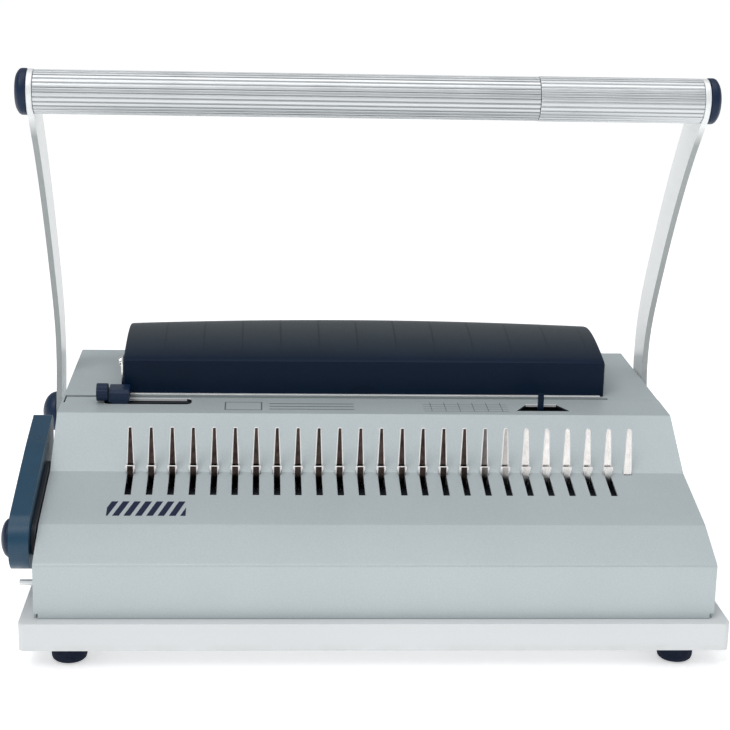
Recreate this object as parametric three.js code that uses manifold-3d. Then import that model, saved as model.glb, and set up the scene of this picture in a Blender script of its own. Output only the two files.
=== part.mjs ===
// Manual comb binding machine: a lever punch with a comb opener, built as separate pieces.
// Millimetres, +Z up, the operator stands on the -Y side and +X is to the operator's right.
import * as THREE from 'three';
import { mergeVertices } from 'three/addons/utils/BufferGeometryUtils.js';
import Module from 'manifold-3d';

const wasm = await Module();
wasm.setup();

// ---------------------------------------------------------------- driving dimensions

const GAP = 0.3; // clearance between touching pieces
const PITCH = 14.2875; // 9/16 inch hole pitch of a plastic comb
const HOOK_COUNT = 24;
const TINE_COUNT = 25;
const FIRST_TINE_X = -163.8;

const SHEET = 1.5; // housing sheet thickness
const HOUSING_HALF = 218.5;
const TRAY_TOP = 32;
const TRAY_BOTTOM = 13.8;
const TRAY_HALF = 227.5;
const TRAY_FRONT = -8.5;
const TRAY_REAR = 331;
const TRAY_WALL = 2;
const FLANGE_INNER_HALF = 190;
const FLANGE_INNER_FRONT = 24;
const FLANGE_INNER_REAR = 300;

const FOOT_RADIUS = 11.5;
const FOOT_X = 197.5;
const FOOT_FRONT_Y = 11.5;
const FOOT_REAR_Y = 305;

// Side profile of the folded housing, as [y, z].
const FOOT_LINE = TRAY_TOP + GAP;
const CREASE_B = [0, 68.6];
const CREASE_C = [34.3, 83.5];
const CREASE_D = [97.6, 98.9];
const CREASE_E = [143.4, 127.7];
const THROAT_FRONT = [180.2, 128.9];
const THROAT_REAR = [184.5, 129];
const THROAT_X = [-217, 181];
const CORNER_SLIT = [1.2, 13]; // width and depth of the relief slit at the throat's left end
const CREASE_F = [312.6, 132.4];
const REAR_FOOT_Y = 321;

const SIDE_PLATE_IN = 211;
const SIDE_PLATE_OUT = 214;
const CROSS_HALF = SIDE_PLATE_IN - GAP;

// Tines, hooks and their slots. The hooks slide along the slope of the slotted facet.
const SLOT_WIDTH = 4.4;
const SLOT_FRONT_Y = 69;
const SLOT_REAR_Y = 95.3;
const TINE_Y = 96.7;
const TINE_THICK = 1.5;
const TINE_BASE_Z = 88;
const TINE_TIP_Z = 130.5;
const TINE_LEAN = 0.06;
const TINE_BAR_Y = [95.4, 104];
const TINE_BAR_Z = [78, 91];
const HOOK_BAR_Y = [84, 94.6];
const HOOK_BAR_Z = [82, 88];
const HOOK_STEM_Y = 93;
const HOOK_TOP_Z = 104.6;

// Comb opener: lever and crank on a stub, a drag link, a cross shaft with two yoke cranks.
const LEVER_AXIS = [32, 75];
const LEVER_OUT_X = -235.2;
const LEVER_IN_X = -222.2;
const LEVER_HUB_RADIUS = 20;
const STUB_RADIUS = 3.5;
const SHAFT_AXIS = [76, 62];
const OPENER_SHAFT_RADIUS = 4;
const CRANK_THROW = 8.5;
const CRANK_REST_DEG = 200;
const YOKE_THROW = 10.06;
const YOKE_REST_DEG = 15;
const CRANK_PIN_RADIUS = 2.5;
const YOKE_CRANK_X = [167.2, 170.4];
const FORK_X = [171.5, 174.5];
const LINK_X = [-179.6, -176.6];
const LEVER_CRANK_X = [-183, -180];

// Punch: the bar and its pins run forward through the guide plate and the die plate.
const PUNCH_Z = 112;
const PIN_WIDTH = 8;
const PIN_HEIGHT = 3;
const PIN_TIP_Y = 185.5;
const BAR_Y = [213, 221];
const BAR_Z = [106, 118];
const PUNCH_STROKE = 12;
const DIE_Y = [174.4, 180.2];
const GUIDE_Y = [184.8, 190.8];
const DIE_Z = [96, 126.5];
const DIE_HALF = 205;

// Handle: two curved arms on a cross shaft, a two-part fluted grip between them.
const HANDLE_AXIS = [248, 99];
const HANDLE_SWING_DEG = 55;
const HANDLE_SHAFT_RADIUS = 7;
const ARM_THICK = 4;
const ARM_LEFT_IN = -226.3;
const ARM_RIGHT_IN = 219.4;
const ARM_HALF_WIDTH = 15;
const GRIP_AXIS = [126, 353];
const GRIP_RADIUS = 14.6;
const GRIP_BORE = 12.4;
const GRIP_JOINT_X = 109;
const FLUTES = 28;
const FLUTE_DEPTH = 0.7;
const EYE_RADIUS = 15.4;
const CAM_X = [146, 154];

// Punch hood.
const HOOD_X = [-175.5, 179];
const HOOD_WALL = 2.5;
const HOOD_BASE_Z = 128;
const HOOD_FRONT_Y = 188;
const HOOD_REAR_Y = 300;
const HOOD_CREASE_Z = 155;
const HOOD_TOP_Z = 166;
const HOOD_CROWN = 4.2; // extra height at mid length

// Left edge guide and right margin pointer.
const GUIDE_SLOT_X = [-188, -125];
const GUIDE_SLOT_Y = [163.5, 176.5];
const NOTCH_FRONT_Y = 152;
const NOTCH_REAR_Y = 167;
const NOTCH_FRONT_X = [108.8, 147.4];
const NOTCH_REAR_X = [117.7, 139.8];
const KNOB_Y = 168.5;
const POINTER_X = [124.9, 128.9];

// Chip drawer, pulled out at the rear.
const DRAWER_HALF = 148;
const DRAWER_FRONT = 70;
const DRAWER_Z = [16.4, 28.6];
const DRAWER_WALL = 1.6;

// ---------------------------------------------------------------- materials

function finish(color, roughness, metalness) {
  return () => new THREE.MeshStandardMaterial({ color, roughness, metalness });
}

const housingGrey = finish(0xb2babd, 0.5, 0.35);
const trayWhite = finish(0xe9eceb, 0.5, 0.05);
const navyPlastic = finish(0x18253a, 0.45, 0);
const leverBlue = finish(0x2b4663, 0.5, 0);
const silverPaint = finish(0xd5d8d8, 0.4, 0.35);
const gripAluminium = finish(0xc4c8ca, 0.35, 0.8);
const brightSteel = finish(0xcfcfcc, 0.2, 1);
const plainSteel = finish(0x8f9294, 0.4, 0.9);
const darkSteel = finish(0x23262b, 0.5, 0.4);
const blackRubber = finish(0x101826, 0.8, 0);
const chipPlastic = finish(0x3a3f45, 0.6, 0);

// ---------------------------------------------------------------- solid helpers

function solid(geometry) {
  const plain = new THREE.BufferGeometry();
  plain.setAttribute('position', geometry.getAttribute('position').clone());
  if (geometry.index) plain.setIndex(geometry.index.clone());
  const merged = mergeVertices(plain, 1e-4);
  const vertProperties = new Float32Array(merged.getAttribute('position').array);
  const triVerts = new Uint32Array(merged.index.array);
  return new wasm.Manifold(new wasm.Mesh({ numProp: 3, vertProperties, triVerts }));
}

function geometryOf(manifold) {
  const result = manifold.getMesh();
  const geometry = new THREE.BufferGeometry();
  geometry.setAttribute('position', new THREE.BufferAttribute(new Float32Array(result.vertProperties), 3));
  geometry.setIndex(new THREE.BufferAttribute(new Uint32Array(result.triVerts), 1));
  geometry.computeVertexNormals();
  return geometry;
}

function join(...geometries) {
  return geometryOf(geometries.map(solid).reduce((a, b) => a.add(b)));
}

function cut(base, ...tools) {
  return geometryOf(tools.map(solid).reduce((a, b) => a.subtract(b), solid(base)));
}

function outline(points) {
  return new THREE.Shape(points.map(([a, b]) => new THREE.Vector2(a, b)));
}

// The shape lies in the Y-Z plane and is drawn out along X.
function alongX(shape, x0, x1, curveSegments = 12) {
  const geometry = new THREE.ExtrudeGeometry(shape, { depth: x1 - x0, bevelEnabled: false, curveSegments });
  const axes = new THREE.Matrix4().makeBasis(
    new THREE.Vector3(0, 1, 0),
    new THREE.Vector3(0, 0, 1),
    new THREE.Vector3(1, 0, 0),
  );
  return geometry.applyMatrix4(axes).translate(x0, 0, 0);
}

// The shape lies in the X-Z plane and is drawn out along Y.
function alongY(shape, y0, y1, curveSegments = 12) {
  const geometry = new THREE.ExtrudeGeometry(shape, { depth: y1 - y0, bevelEnabled: false, curveSegments });
  const axes = new THREE.Matrix4().makeBasis(
    new THREE.Vector3(1, 0, 0),
    new THREE.Vector3(0, 0, 1),
    new THREE.Vector3(0, -1, 0),
  );
  return geometry.applyMatrix4(axes).translate(0, y1, 0);
}

// The shape lies in the X-Y plane and is drawn out along Z.
function alongZ(shape, z0, z1, curveSegments = 12) {
  const geometry = new THREE.ExtrudeGeometry(shape, { depth: z1 - z0, bevelEnabled: false, curveSegments });
  return geometry.translate(0, 0, z0);
}

function box(x0, x1, y0, y1, z0, z1) {
  const geometry = new THREE.BoxGeometry(x1 - x0, y1 - y0, z1 - z0);
  return geometry.translate((x0 + x1) / 2, (y0 + y1) / 2, (z0 + z1) / 2);
}

function rodX(radius, x0, x1, [y, z], segments = 20) {
  const geometry = new THREE.CylinderGeometry(radius, radius, x1 - x0, segments);
  return geometry.rotateZ(Math.PI / 2).translate((x0 + x1) / 2, y, z);
}

// A lathed piece whose profile is [radius, distance along X] from the given face.
function turnedX(profile, faceX, direction, [y, z], segments = 22) {
  const points = profile.map(([r, d]) => new THREE.Vector2(r, d));
  const geometry = new THREE.LatheGeometry(points, segments);
  geometry.rotateZ(direction > 0 ? -Math.PI / 2 : Math.PI / 2);
  return geometry.translate(faceX, y, z);
}

function roundedRect(x0, x1, y0, y1, r) {
  const shape = new THREE.Shape();
  shape.moveTo(x0 + r, y0);
  shape.lineTo(x1 - r, y0);
  shape.absarc(x1 - r, y0 + r, r, -Math.PI / 2, 0, false);
  shape.lineTo(x1, y1 - r);
  shape.absarc(x1 - r, y1 - r, r, 0, Math.PI / 2, false);
  shape.lineTo(x0 + r, y1);
  shape.absarc(x0 + r, y1 - r, r, Math.PI / 2, Math.PI, false);
  shape.lineTo(x0, y0 + r);
  shape.absarc(x0 + r, y0 + r, r, Math.PI, 1.5 * Math.PI, false);
  return shape;
}

// Rounded bar between two points of the Y-Z plane with an end radius at each.
function capsule([y0, z0], r0, [y1, z1], r1) {
  const heading = Math.atan2(z1 - z0, y1 - y0);
  const lean = Math.acos((r0 - r1) / Math.hypot(y1 - y0, z1 - z0));
  const shape = new THREE.Shape();
  shape.absarc(y0, z0, r0, heading + lean, heading - lean + 2 * Math.PI, false);
  shape.absarc(y1, z1, r1, heading - lean, heading + lean, false);
  return shape;
}

function polar([y, z], radius, degrees) {
  const angle = THREE.MathUtils.degToRad(degrees);
  return [y + radius * Math.cos(angle), z + radius * Math.sin(angle)];
}

// Moves an open chain of [y, z] points to its right-hand side by a distance.
function offsetChain(points, distance) {
  const normals = points.slice(1).map(([y, z], i) => {
    const dy = y - points[i][0];
    const dz = z - points[i][1];
    const length = Math.hypot(dy, dz);
    return [dz / length, -dy / length];
  });
  return points.map(([y, z], i) => {
    const a = normals[Math.max(i - 1, 0)];
    const b = normals[Math.min(i, normals.length - 1)];
    const scale = distance / (1 + a[0] * b[0] + a[1] * b[1]);
    return [y + (a[0] + b[0]) * scale, z + (a[1] + b[1]) * scale];
  });
}

// Height of the housing's outer skin over a depth.
function skinZ(y) {
  const chain = [CREASE_B, CREASE_C, CREASE_D, CREASE_E, CREASE_F];
  const after = chain.findIndex(([cy]) => cy >= y);
  const [y0, z0] = chain[after - 1];
  const [y1, z1] = chain[after];
  return z0 + ((y - y0) / (y1 - y0)) * (z1 - z0);
}

function tineX(index) {
  return FIRST_TINE_X + index * PITCH;
}

function eachOf(count, make) {
  return Array.from({ length: count }, (_, i) => make(i));
}

// ---------------------------------------------------------------- assembly

const machine = new THREE.Group();
machine.name = 'comb_binding_machine';

function piece(name, geometry, material) {
  const mesh = new THREE.Mesh(geometry, material());
  mesh.name = name;
  machine.add(mesh);
}

// ---------------------------------------------------------------- base

function baseTray() {
  const outer = roundedRect(-TRAY_HALF, TRAY_HALF, TRAY_FRONT, TRAY_REAR, 4);
  const inside = roundedRect(
    TRAY_WALL - TRAY_HALF,
    TRAY_HALF - TRAY_WALL,
    TRAY_FRONT + TRAY_WALL,
    TRAY_REAR - TRAY_WALL,
    2,
  );
  return cut(
    alongZ(outer, TRAY_BOTTOM, TRAY_TOP, 4),
    alongZ(inside, TRAY_BOTTOM - 1, TRAY_TOP - TRAY_WALL, 3),
    box(-FLANGE_INNER_HALF, FLANGE_INNER_HALF, FLANGE_INNER_FRONT, FLANGE_INNER_REAR, 20, TRAY_TOP + 1),
    box(
      -DRAWER_HALF - 0.6,
      DRAWER_HALF + 0.6,
      TRAY_REAR - 5,
      TRAY_REAR + 5,
      DRAWER_Z[0] - 0.4,
      DRAWER_Z[1] + 0.5,
    ),
  );
}

function bottomPlate() {
  const inset = TRAY_WALL + GAP;
  const plate = roundedRect(inset - TRAY_HALF, TRAY_HALF - inset, TRAY_FRONT + inset, TRAY_REAR - inset, 2);
  return alongZ(plate, TRAY_BOTTOM, TRAY_BOTTOM + 2, 3);
}

function foot(x, y) {
  const top = TRAY_BOTTOM - GAP;
  const profile = [
    [0, 0],
    [8.6, 0],
    [10.4, 1.1],
    [FOOT_RADIUS, 3.4],
    [FOOT_RADIUS, top],
    [0, top],
  ];
  const points = profile.map(([r, h]) => new THREE.Vector2(r, h));
  return new THREE.LatheGeometry(points, 24).rotateX(Math.PI / 2).translate(x, y, 0);
}

function chipDrawer() {
  const rear = TRAY_REAR + 1.5;
  const shell = cut(
    box(-DRAWER_HALF, DRAWER_HALF, DRAWER_FRONT, rear, DRAWER_Z[0], DRAWER_Z[1]),
    box(
      DRAWER_WALL - DRAWER_HALF,
      DRAWER_HALF - DRAWER_WALL,
      DRAWER_FRONT + DRAWER_WALL,
      rear - 3,
      DRAWER_Z[0] + DRAWER_WALL,
      DRAWER_Z[1] + 1,
    ),
  );
  return join(shell, box(-30, 30, rear - 1, rear + 8, DRAWER_Z[1] - 3, DRAWER_Z[1]));
}

piece('base_tray', baseTray(), trayWhite);
piece('bottom_plate', bottomPlate(), plainSteel);
piece('foot_front_left', foot(-FOOT_X, FOOT_FRONT_Y), blackRubber);
piece('foot_front_right', foot(FOOT_X, FOOT_FRONT_Y), blackRubber);
piece('foot_rear_left', foot(-FOOT_X, FOOT_REAR_Y), blackRubber);
piece('foot_rear_right', foot(FOOT_X, FOOT_REAR_Y), blackRubber);
piece('chip_drawer', chipDrawer(), chipPlastic);

// ---------------------------------------------------------------- side plates and cross members

function sidePlate(side) {
  const drop = 3.4;
  const profile = [
    [12, FOOT_LINE],
    [12, skinZ(12) - drop],
    [CREASE_C[0], CREASE_C[1] - drop],
    [CREASE_D[0] + 1, CREASE_D[1] - drop],
    [CREASE_E[0] + 1, CREASE_E[1] - drop],
    [300, skinZ(300) - drop],
    [305, FOOT_LINE],
  ];
  const x = side < 0 ? [-SIDE_PLATE_OUT, -SIDE_PLATE_IN] : [SIDE_PLATE_IN, SIDE_PLATE_OUT];
  const holes = [rodX(10.5, x[0] - 1, x[1] + 1, HANDLE_AXIS, 20)];
  if (side < 0) holes.push(rodX(STUB_RADIUS + GAP, x[0] - 1, x[1] + 1, LEVER_AXIS, 16));
  return cut(alongX(outline(profile), x[0], x[1]), ...holes);
}

function handleBush(side) {
  const x = side < 0 ? [-SIDE_PLATE_OUT - 1, -SIDE_PLATE_IN + 1] : [SIDE_PLATE_IN - 1, SIDE_PLATE_OUT + 1];
  return cut(
    rodX(10.2, x[0], x[1], HANDLE_AXIS, 20),
    rodX(HANDLE_SHAFT_RADIUS + GAP, x[0] - 1, x[1] + 1, HANDLE_AXIS, 20),
  );
}

function openerBearing(side) {
  const x = side < 0 ? [-156, -150] : [150, 156];
  const block = outline([
    [66, 48 + GAP],
    [86, 48 + GAP],
    [84, 70],
    [68, 70],
  ]);
  return cut(
    alongX(block, x[0], x[1]),
    rodX(OPENER_SHAFT_RADIUS + GAP, x[0] - 1, x[1] + 1, SHAFT_AXIS, 16),
  );
}

piece('side_plate_left', sidePlate(-1), plainSteel);
piece('side_plate_right', sidePlate(1), plainSteel);
piece('handle_bush_left', handleBush(-1), brightSteel);
piece('handle_bush_right', handleBush(1), brightSteel);
piece('front_tie_rod', rodX(4, -CROSS_HALF, CROSS_HALF, [20, 46], 20), plainSteel);
piece('rear_tie_rod', rodX(5, -CROSS_HALF, CROSS_HALF, [288, 60], 20), plainSteel);
piece('opener_crossbar', box(-CROSS_HALF, CROSS_HALF, 64, 88, 36, 48), plainSteel);
piece('opener_bearing_left', openerBearing(-1), plainSteel);
piece('opener_bearing_right', openerBearing(1), plainSteel);

// ---------------------------------------------------------------- covers

function shell(chain, open, holes) {
  const innerChain = offsetChain(chain, SHEET);
  const outerShape = outline(chain);
  const innerShape = outline(open(innerChain));
  return cut(
    alongX(outerShape, -HOUSING_HALF, HOUSING_HALF),
    alongX(innerShape, SHEET - HOUSING_HALF, HOUSING_HALF - SHEET),
    ...holes,
  );
}

function hookSlot(index) {
  const x = tineX(index);
  return box(x - SLOT_WIDTH / 2, x + SLOT_WIDTH / 2, SLOT_FRONT_Y, SLOT_REAR_Y, 85, 110);
}

function tineHole(index) {
  const x = tineX(index);
  return box(x - 3.1, x + 3.1, SLOT_REAR_Y - 0.1, TINE_Y + 2, 90, 110);
}

function frontCover() {
  const chain = [
    [0, FOOT_LINE],
    CREASE_B,
    CREASE_C,
    CREASE_D,
    CREASE_E,
    THROAT_FRONT,
    [THROAT_FRONT[0], FOOT_LINE],
  ];
  const open = (inner) => [
    [inner[0][0], FOOT_LINE - 5],
    ...inner.slice(1, 5),
    [THROAT_FRONT[0] + 5, THROAT_FRONT[1] - SHEET + 0.1],
    [THROAT_FRONT[0] + 5, FOOT_LINE - 5],
  ];
  const guideSlot = roundedRect(GUIDE_SLOT_X[0], GUIDE_SLOT_X[1], GUIDE_SLOT_Y[0], GUIDE_SLOT_Y[1], 4.6);
  const notch = outline([
    [NOTCH_FRONT_X[0], NOTCH_FRONT_Y],
    [NOTCH_FRONT_X[1], NOTCH_FRONT_Y],
    [NOTCH_REAR_X[1], NOTCH_REAR_Y],
    [NOTCH_REAR_X[0], NOTCH_REAR_Y],
  ]);
  const cornerCuts = [-1, 1].map((side) => {
    const x = side * HOUSING_HALF;
    return box(x - 2.6, x + 2.6, -3, 2.6, FOOT_LINE - 1, FOOT_LINE + 3.2);
  });
  const slitFrom = THROAT_FRONT[0] - CORNER_SLIT[1];
  return shell(chain, open, [
    ...eachOf(HOOK_COUNT, hookSlot),
    ...eachOf(TINE_COUNT, tineHole),
    alongZ(guideSlot, 120, 135, 6),
    alongZ(notch, 120, 135),
    box(THROAT_X[0], THROAT_X[0] + CORNER_SLIT[0], slitFrom, THROAT_FRONT[0] + 1, 120, 135),
    rodX(STUB_RADIUS + 0.7, -HOUSING_HALF - 2, 2 - HOUSING_HALF, LEVER_AXIS, 16),
    ...cornerCuts,
  ]);
}

function rearCover() {
  const seam = THROAT_FRONT[0] + GAP;
  const chain = [
    [seam, FOOT_LINE],
    [seam, THROAT_FRONT[1]],
    CREASE_F,
    [REAR_FOOT_Y, FOOT_LINE],
  ];
  const open = (inner) => [
    [seam - 5, FOOT_LINE - 5],
    [seam - 5, THROAT_FRONT[1] - SHEET - 0.1],
    inner[2],
    [inner[3][0] + 0.4, FOOT_LINE - 5],
  ];
  return shell(chain, open, [
    box(THROAT_X[0], THROAT_X[1], seam - 1, THROAT_REAR[0], 120, 140),
    box(-170, 170, 196, 264, 120, 140),
    rodX(HANDLE_SHAFT_RADIUS + 1, -HOUSING_HALF - 2, HOUSING_HALF + 2, HANDLE_AXIS, 20),
  ]);
}

piece('front_cover', frontCover(), housingGrey);
piece('rear_cover', rearCover(), housingGrey);

// ---------------------------------------------------------------- punch hood

// Closed [y, z] section of the hood; the crown lifts everything above the front crease.
function hoodSection(inset, crown) {
  const front = HOOD_FRONT_Y + inset;
  const rear = HOOD_REAR_Y - inset;
  const crease = HOOD_CREASE_Z - inset * 0.6;
  const top = HOOD_TOP_Z - inset;
  const rise = new THREE.CubicBezierCurve(
    new THREE.Vector2(front, crease),
    new THREE.Vector2(front + 17, crease + 4.5),
    new THREE.Vector2(front + 40, top),
    new THREE.Vector2(front + 64, top),
  );
  const fall = new THREE.CubicBezierCurve(
    new THREE.Vector2(front + 64, top),
    new THREE.Vector2(front + 87, top),
    new THREE.Vector2(rear - 3, crease + 1),
    new THREE.Vector2(rear, crease - 14),
  );
  const upper = [...rise.getPoints(6), ...fall.getPoints(7).slice(1)];
  const bottom = inset > 0 ? HOOD_BASE_Z - 5 : HOOD_BASE_Z;
  const lift = (z) => z + (crown * Math.max(z - crease, 0)) / (top - crease);
  return [[front, bottom], ...upper.map((p) => [p.x, lift(p.y)]), [rear, bottom]];
}

// Skins a row of equal-length closed sections set at the given x positions.
function loft(stations) {
  const ring = stations[0].section.length;
  const positions = [];
  const index = [];
  stations.forEach(({ x, section }) => section.forEach(([y, z]) => positions.push(x, y, z)));
  for (let s = 0; s < stations.length - 1; s += 1) {
    for (let i = 0; i < ring; i += 1) {
      const a = s * ring + i;
      const b = s * ring + ((i + 1) % ring);
      index.push(a, a + ring, b, b, a + ring, b + ring);
    }
  }
  const caps = [
    [0, true],
    [stations.length - 1, false],
  ];
  caps.forEach(([s, flip]) => {
    const contour = stations[s].section.map(([y, z]) => new THREE.Vector2(y, z));
    THREE.ShapeUtils.triangulateShape(contour, []).forEach(([a, b, c]) => {
      const face = flip ? [a, c, b] : [a, b, c];
      index.push(...face.map((i) => s * ring + i));
    });
  });
  const geometry = new THREE.BufferGeometry();
  geometry.setAttribute('position', new THREE.Float32BufferAttribute(positions, 3));
  geometry.setIndex(index);
  return geometry;
}

function hoodBody(inset) {
  const middle = (HOOD_X[0] + HOOD_X[1]) / 2;
  const half = (HOOD_X[1] - HOOD_X[0]) / 2 - inset;
  const spans = 8;
  return loft(
    eachOf(spans + 1, (i) => {
      const x = half * ((2 * i) / spans - 1);
      return { x: middle + x, section: hoodSection(inset, HOOD_CROWN * (1 - (x / half) ** 2)) };
    }),
  );
}

function punchHood() {
  const seat = outline([
    [HOOD_FRONT_Y - 5, HOOD_BASE_Z - 10],
    [HOOD_REAR_Y + 5, HOOD_BASE_Z - 10],
    [HOOD_REAR_Y + 5, skinZ(HOOD_REAR_Y + 5) + GAP],
    [HOOD_FRONT_Y - 5, skinZ(HOOD_FRONT_Y - 5) + GAP],
  ]);
  const thumb = rodX(1, -1, 1, [0, 0], 24);
  thumb.rotateZ(Math.PI / 2).scale(9.6, 2.5, 7);
  thumb.translate(0, HOOD_FRONT_Y - 1.6, skinZ(HOOD_FRONT_Y) + GAP);
  return cut(hoodBody(0), hoodBody(HOOD_WALL), alongX(seat, -200, 200), thumb);
}

function hoodBracket() {
  const face = HOOD_X[0] - GAP;
  const top = skinZ(190) + GAP;
  const seatTop = skinZ(206) + GAP;
  const upright = outline([
    [190, top],
    [206, seatTop],
    [206, 151],
    [203, 155.5],
    [193, 155.5],
    [190, 152],
  ]);
  const toe = outline([
    [190, top],
    [206, seatTop],
    [206, seatTop + 1.6],
    [190, top + 1.6],
  ]);
  return join(alongX(upright, face - 1.4, face), alongX(toe, face - 11, face));
}

function hoodScrew() {
  const profile = [
    [0, 0],
    [3.6, 0],
    [3.6, 1.2],
    [2.4, 2.2],
    [0, 2.2],
  ];
  return turnedX(profile, HOOD_X[0] - 2 * GAP - 1.4, -1, [198, 151], 16);
}

// Polished strip that leads the paper into the throat, just in front of the hood.
function throatStrip() {
  const low = skinZ(187.6) + GAP;
  return box(HOOD_X[0] + 2, HOOD_X[1] - 3, THROAT_REAR[0] + 0.4, 187.6, low, low + 1.1);
}

piece('punch_hood', punchHood(), navyPlastic);
piece('throat_strip', throatStrip(), brightSteel);
piece('hood_bracket', hoodBracket(), brightSteel);
piece('hood_bracket_screw', hoodScrew(), brightSteel);

// ---------------------------------------------------------------- tines and hooks

function tine(index) {
  const height = TINE_TIP_Z - TINE_BASE_Z;
  const blade = outline([
    [-2.8, 0],
    [2.8, 0],
    [2.8, 13],
    [1.5, height - 1.4],
    [0.9, height],
    [-0.9, height],
    [-1.5, height - 1.4],
    [-2.8, 13],
  ]);
  const geometry = alongY(blade, -TINE_THICK / 2, TINE_THICK / 2);
  geometry.applyMatrix4(new THREE.Matrix4().makeShear(0, 0, 0, 0, 0, TINE_LEAN));
  return geometry.translate(tineX(index), TINE_Y, TINE_BASE_Z);
}

function tineBar() {
  const bar = box(-CROSS_HALF, CROSS_HALF, TINE_BAR_Y[0], TINE_BAR_Y[1], TINE_BAR_Z[0], TINE_BAR_Z[1]);
  return join(bar, ...eachOf(TINE_COUNT, tine));
}

function hook(index) {
  const foot = HOOK_BAR_Z[1] - 2;
  const profile = outline([
    [-0.9, foot],
    [0.9, foot],
    [0.9, 90],
    [1.9, 97.5],
    [1.9, 101.4],
    [3.5, 101.9],
    [3.5, HOOK_TOP_Z],
    [-3.5, HOOK_TOP_Z],
    [-3.5, 101.9],
    [-1.9, 101.4],
    [-1.9, 97.5],
    [-0.9, 90],
  ]);
  return alongY(profile, HOOK_STEM_Y, HOOK_STEM_Y + 1.6).translate(tineX(index), 0, 0);
}

function hookBar() {
  const half = FORK_X[0] - GAP;
  const bar = box(-half, half, HOOK_BAR_Y[0], HOOK_BAR_Y[1], HOOK_BAR_Z[0], HOOK_BAR_Z[1]);
  return join(bar, ...eachOf(HOOK_COUNT, hook));
}

function hookFork(side) {
  const pin = polar(SHAFT_AXIS, YOKE_THROW, YOKE_REST_DEG);
  const reach = 7.2;
  const slot = 4.2;
  const bottom = 61;
  const profile = outline([
    [pin[0] - reach, bottom],
    [pin[0] - slot, bottom],
    [pin[0] - slot, 78.5],
    [pin[0] + slot, 78.5],
    [pin[0] + slot, bottom],
    [pin[0] + reach, bottom],
    [pin[0] + reach, HOOK_BAR_Z[1]],
    [pin[0] - reach, HOOK_BAR_Z[1]],
  ]);
  return side < 0 ? alongX(profile, -FORK_X[1], -FORK_X[0]) : alongX(profile, FORK_X[0], FORK_X[1]);
}

piece('tine_bar', tineBar(), brightSteel);
piece('hook_bar', hookBar(), brightSteel);
piece('hook_fork_left', hookFork(-1), plainSteel);
piece('hook_fork_right', hookFork(1), plainSteel);

// ---------------------------------------------------------------- comb opener drive

function openerLever() {
  const top = [
    [20, 85],
    [31, 91.5],
    [63.5, 105],
    [105, 116.5],
    [146, 125.5],
  ];
  const under = [
    [152, 121],
    [150, 103],
    [144, 94],
    [105, 83],
    [63.5, 68],
    [44, 61],
  ];
  const blade = outline([LEVER_AXIS, ...top, ...under]);
  const hub = new THREE.Shape().absarc(LEVER_AXIS[0], LEVER_AXIS[1], LEVER_HUB_RADIUS, 0, 2 * Math.PI, false);
  return join(alongX(blade, LEVER_OUT_X, LEVER_IN_X), alongX(hub, LEVER_OUT_X, LEVER_IN_X, 18));
}

function leverPlate() {
  const x = [LEVER_IN_X + GAP, -HOUSING_HALF - 0.8];
  const profile = capsule(LEVER_AXIS, 11, [104, 97], 7);
  return cut(
    alongX(profile, x[0], x[1], 12),
    rodX(STUB_RADIUS + GAP, x[0] - 1, x[1] + 1, LEVER_AXIS, 16),
  );
}

function domeCap(radius, height, faceX, direction, centre) {
  const rim = 1.2;
  const profile = [[0, 0], [radius, 0], [radius, rim]];
  for (let i = 1; i <= 4; i += 1) {
    const angle = (i / 4) * (Math.PI / 2);
    profile.push([radius * Math.cos(angle), rim + (height - rim) * Math.sin(angle)]);
  }
  profile[profile.length - 1][0] = 0;
  return turnedX(profile, faceX, direction, centre);
}

function leverCrank() {
  const pin = polar(LEVER_AXIS, CRANK_THROW, CRANK_REST_DEG);
  return join(
    alongX(capsule(LEVER_AXIS, 5, pin, 4), LEVER_CRANK_X[0], LEVER_CRANK_X[1], 6),
    rodX(STUB_RADIUS, LEVER_IN_X + GAP, LEVER_CRANK_X[0] + 1, LEVER_AXIS, 16),
    rodX(CRANK_PIN_RADIUS, LEVER_CRANK_X[1] - 1, LINK_X[1] + 0.6, pin, 12),
  );
}

function openerLink() {
  const from = polar(LEVER_AXIS, CRANK_THROW, CRANK_REST_DEG);
  const to = polar(SHAFT_AXIS, CRANK_THROW, CRANK_REST_DEG);
  const bar = alongX(capsule(from, 4, to, 4.01), LINK_X[0], LINK_X[1], 6);
  const eyes = [from, to].map((at) => rodX(CRANK_PIN_RADIUS + 2 * GAP, LINK_X[0] - 1, LINK_X[1] + 1, at, 12));
  return cut(bar, ...eyes);
}

function yokeCrank(side) {
  const x = side < 0 ? [-YOKE_CRANK_X[1], -YOKE_CRANK_X[0]] : YOKE_CRANK_X;
  const yokePin = polar(SHAFT_AXIS, YOKE_THROW, YOKE_REST_DEG);
  const linkPin = polar(SHAFT_AXIS, CRANK_THROW, CRANK_REST_DEG);
  const pinReach = FORK_X[1] + 0.5;
  const bodies = [
    alongX(capsule(SHAFT_AXIS, 6.5, yokePin, 3.6), x[0], x[1], 6),
    side < 0
      ? rodX(CRANK_PIN_RADIUS, -pinReach, x[1] - 1, yokePin, 12)
      : rodX(CRANK_PIN_RADIUS, x[0] + 1, pinReach, yokePin, 12),
  ];
  if (side < 0) {
    bodies.push(alongX(capsule(SHAFT_AXIS, 6.4, linkPin, 3.8), x[0], x[1], 6));
    bodies.push(rodX(CRANK_PIN_RADIUS, LINK_X[0] - 0.1, x[1] - 1, linkPin, 12));
  }
  return cut(join(...bodies), rodX(OPENER_SHAFT_RADIUS + GAP, x[0] - 1, x[1] + 1, SHAFT_AXIS, 16));
}

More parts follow.
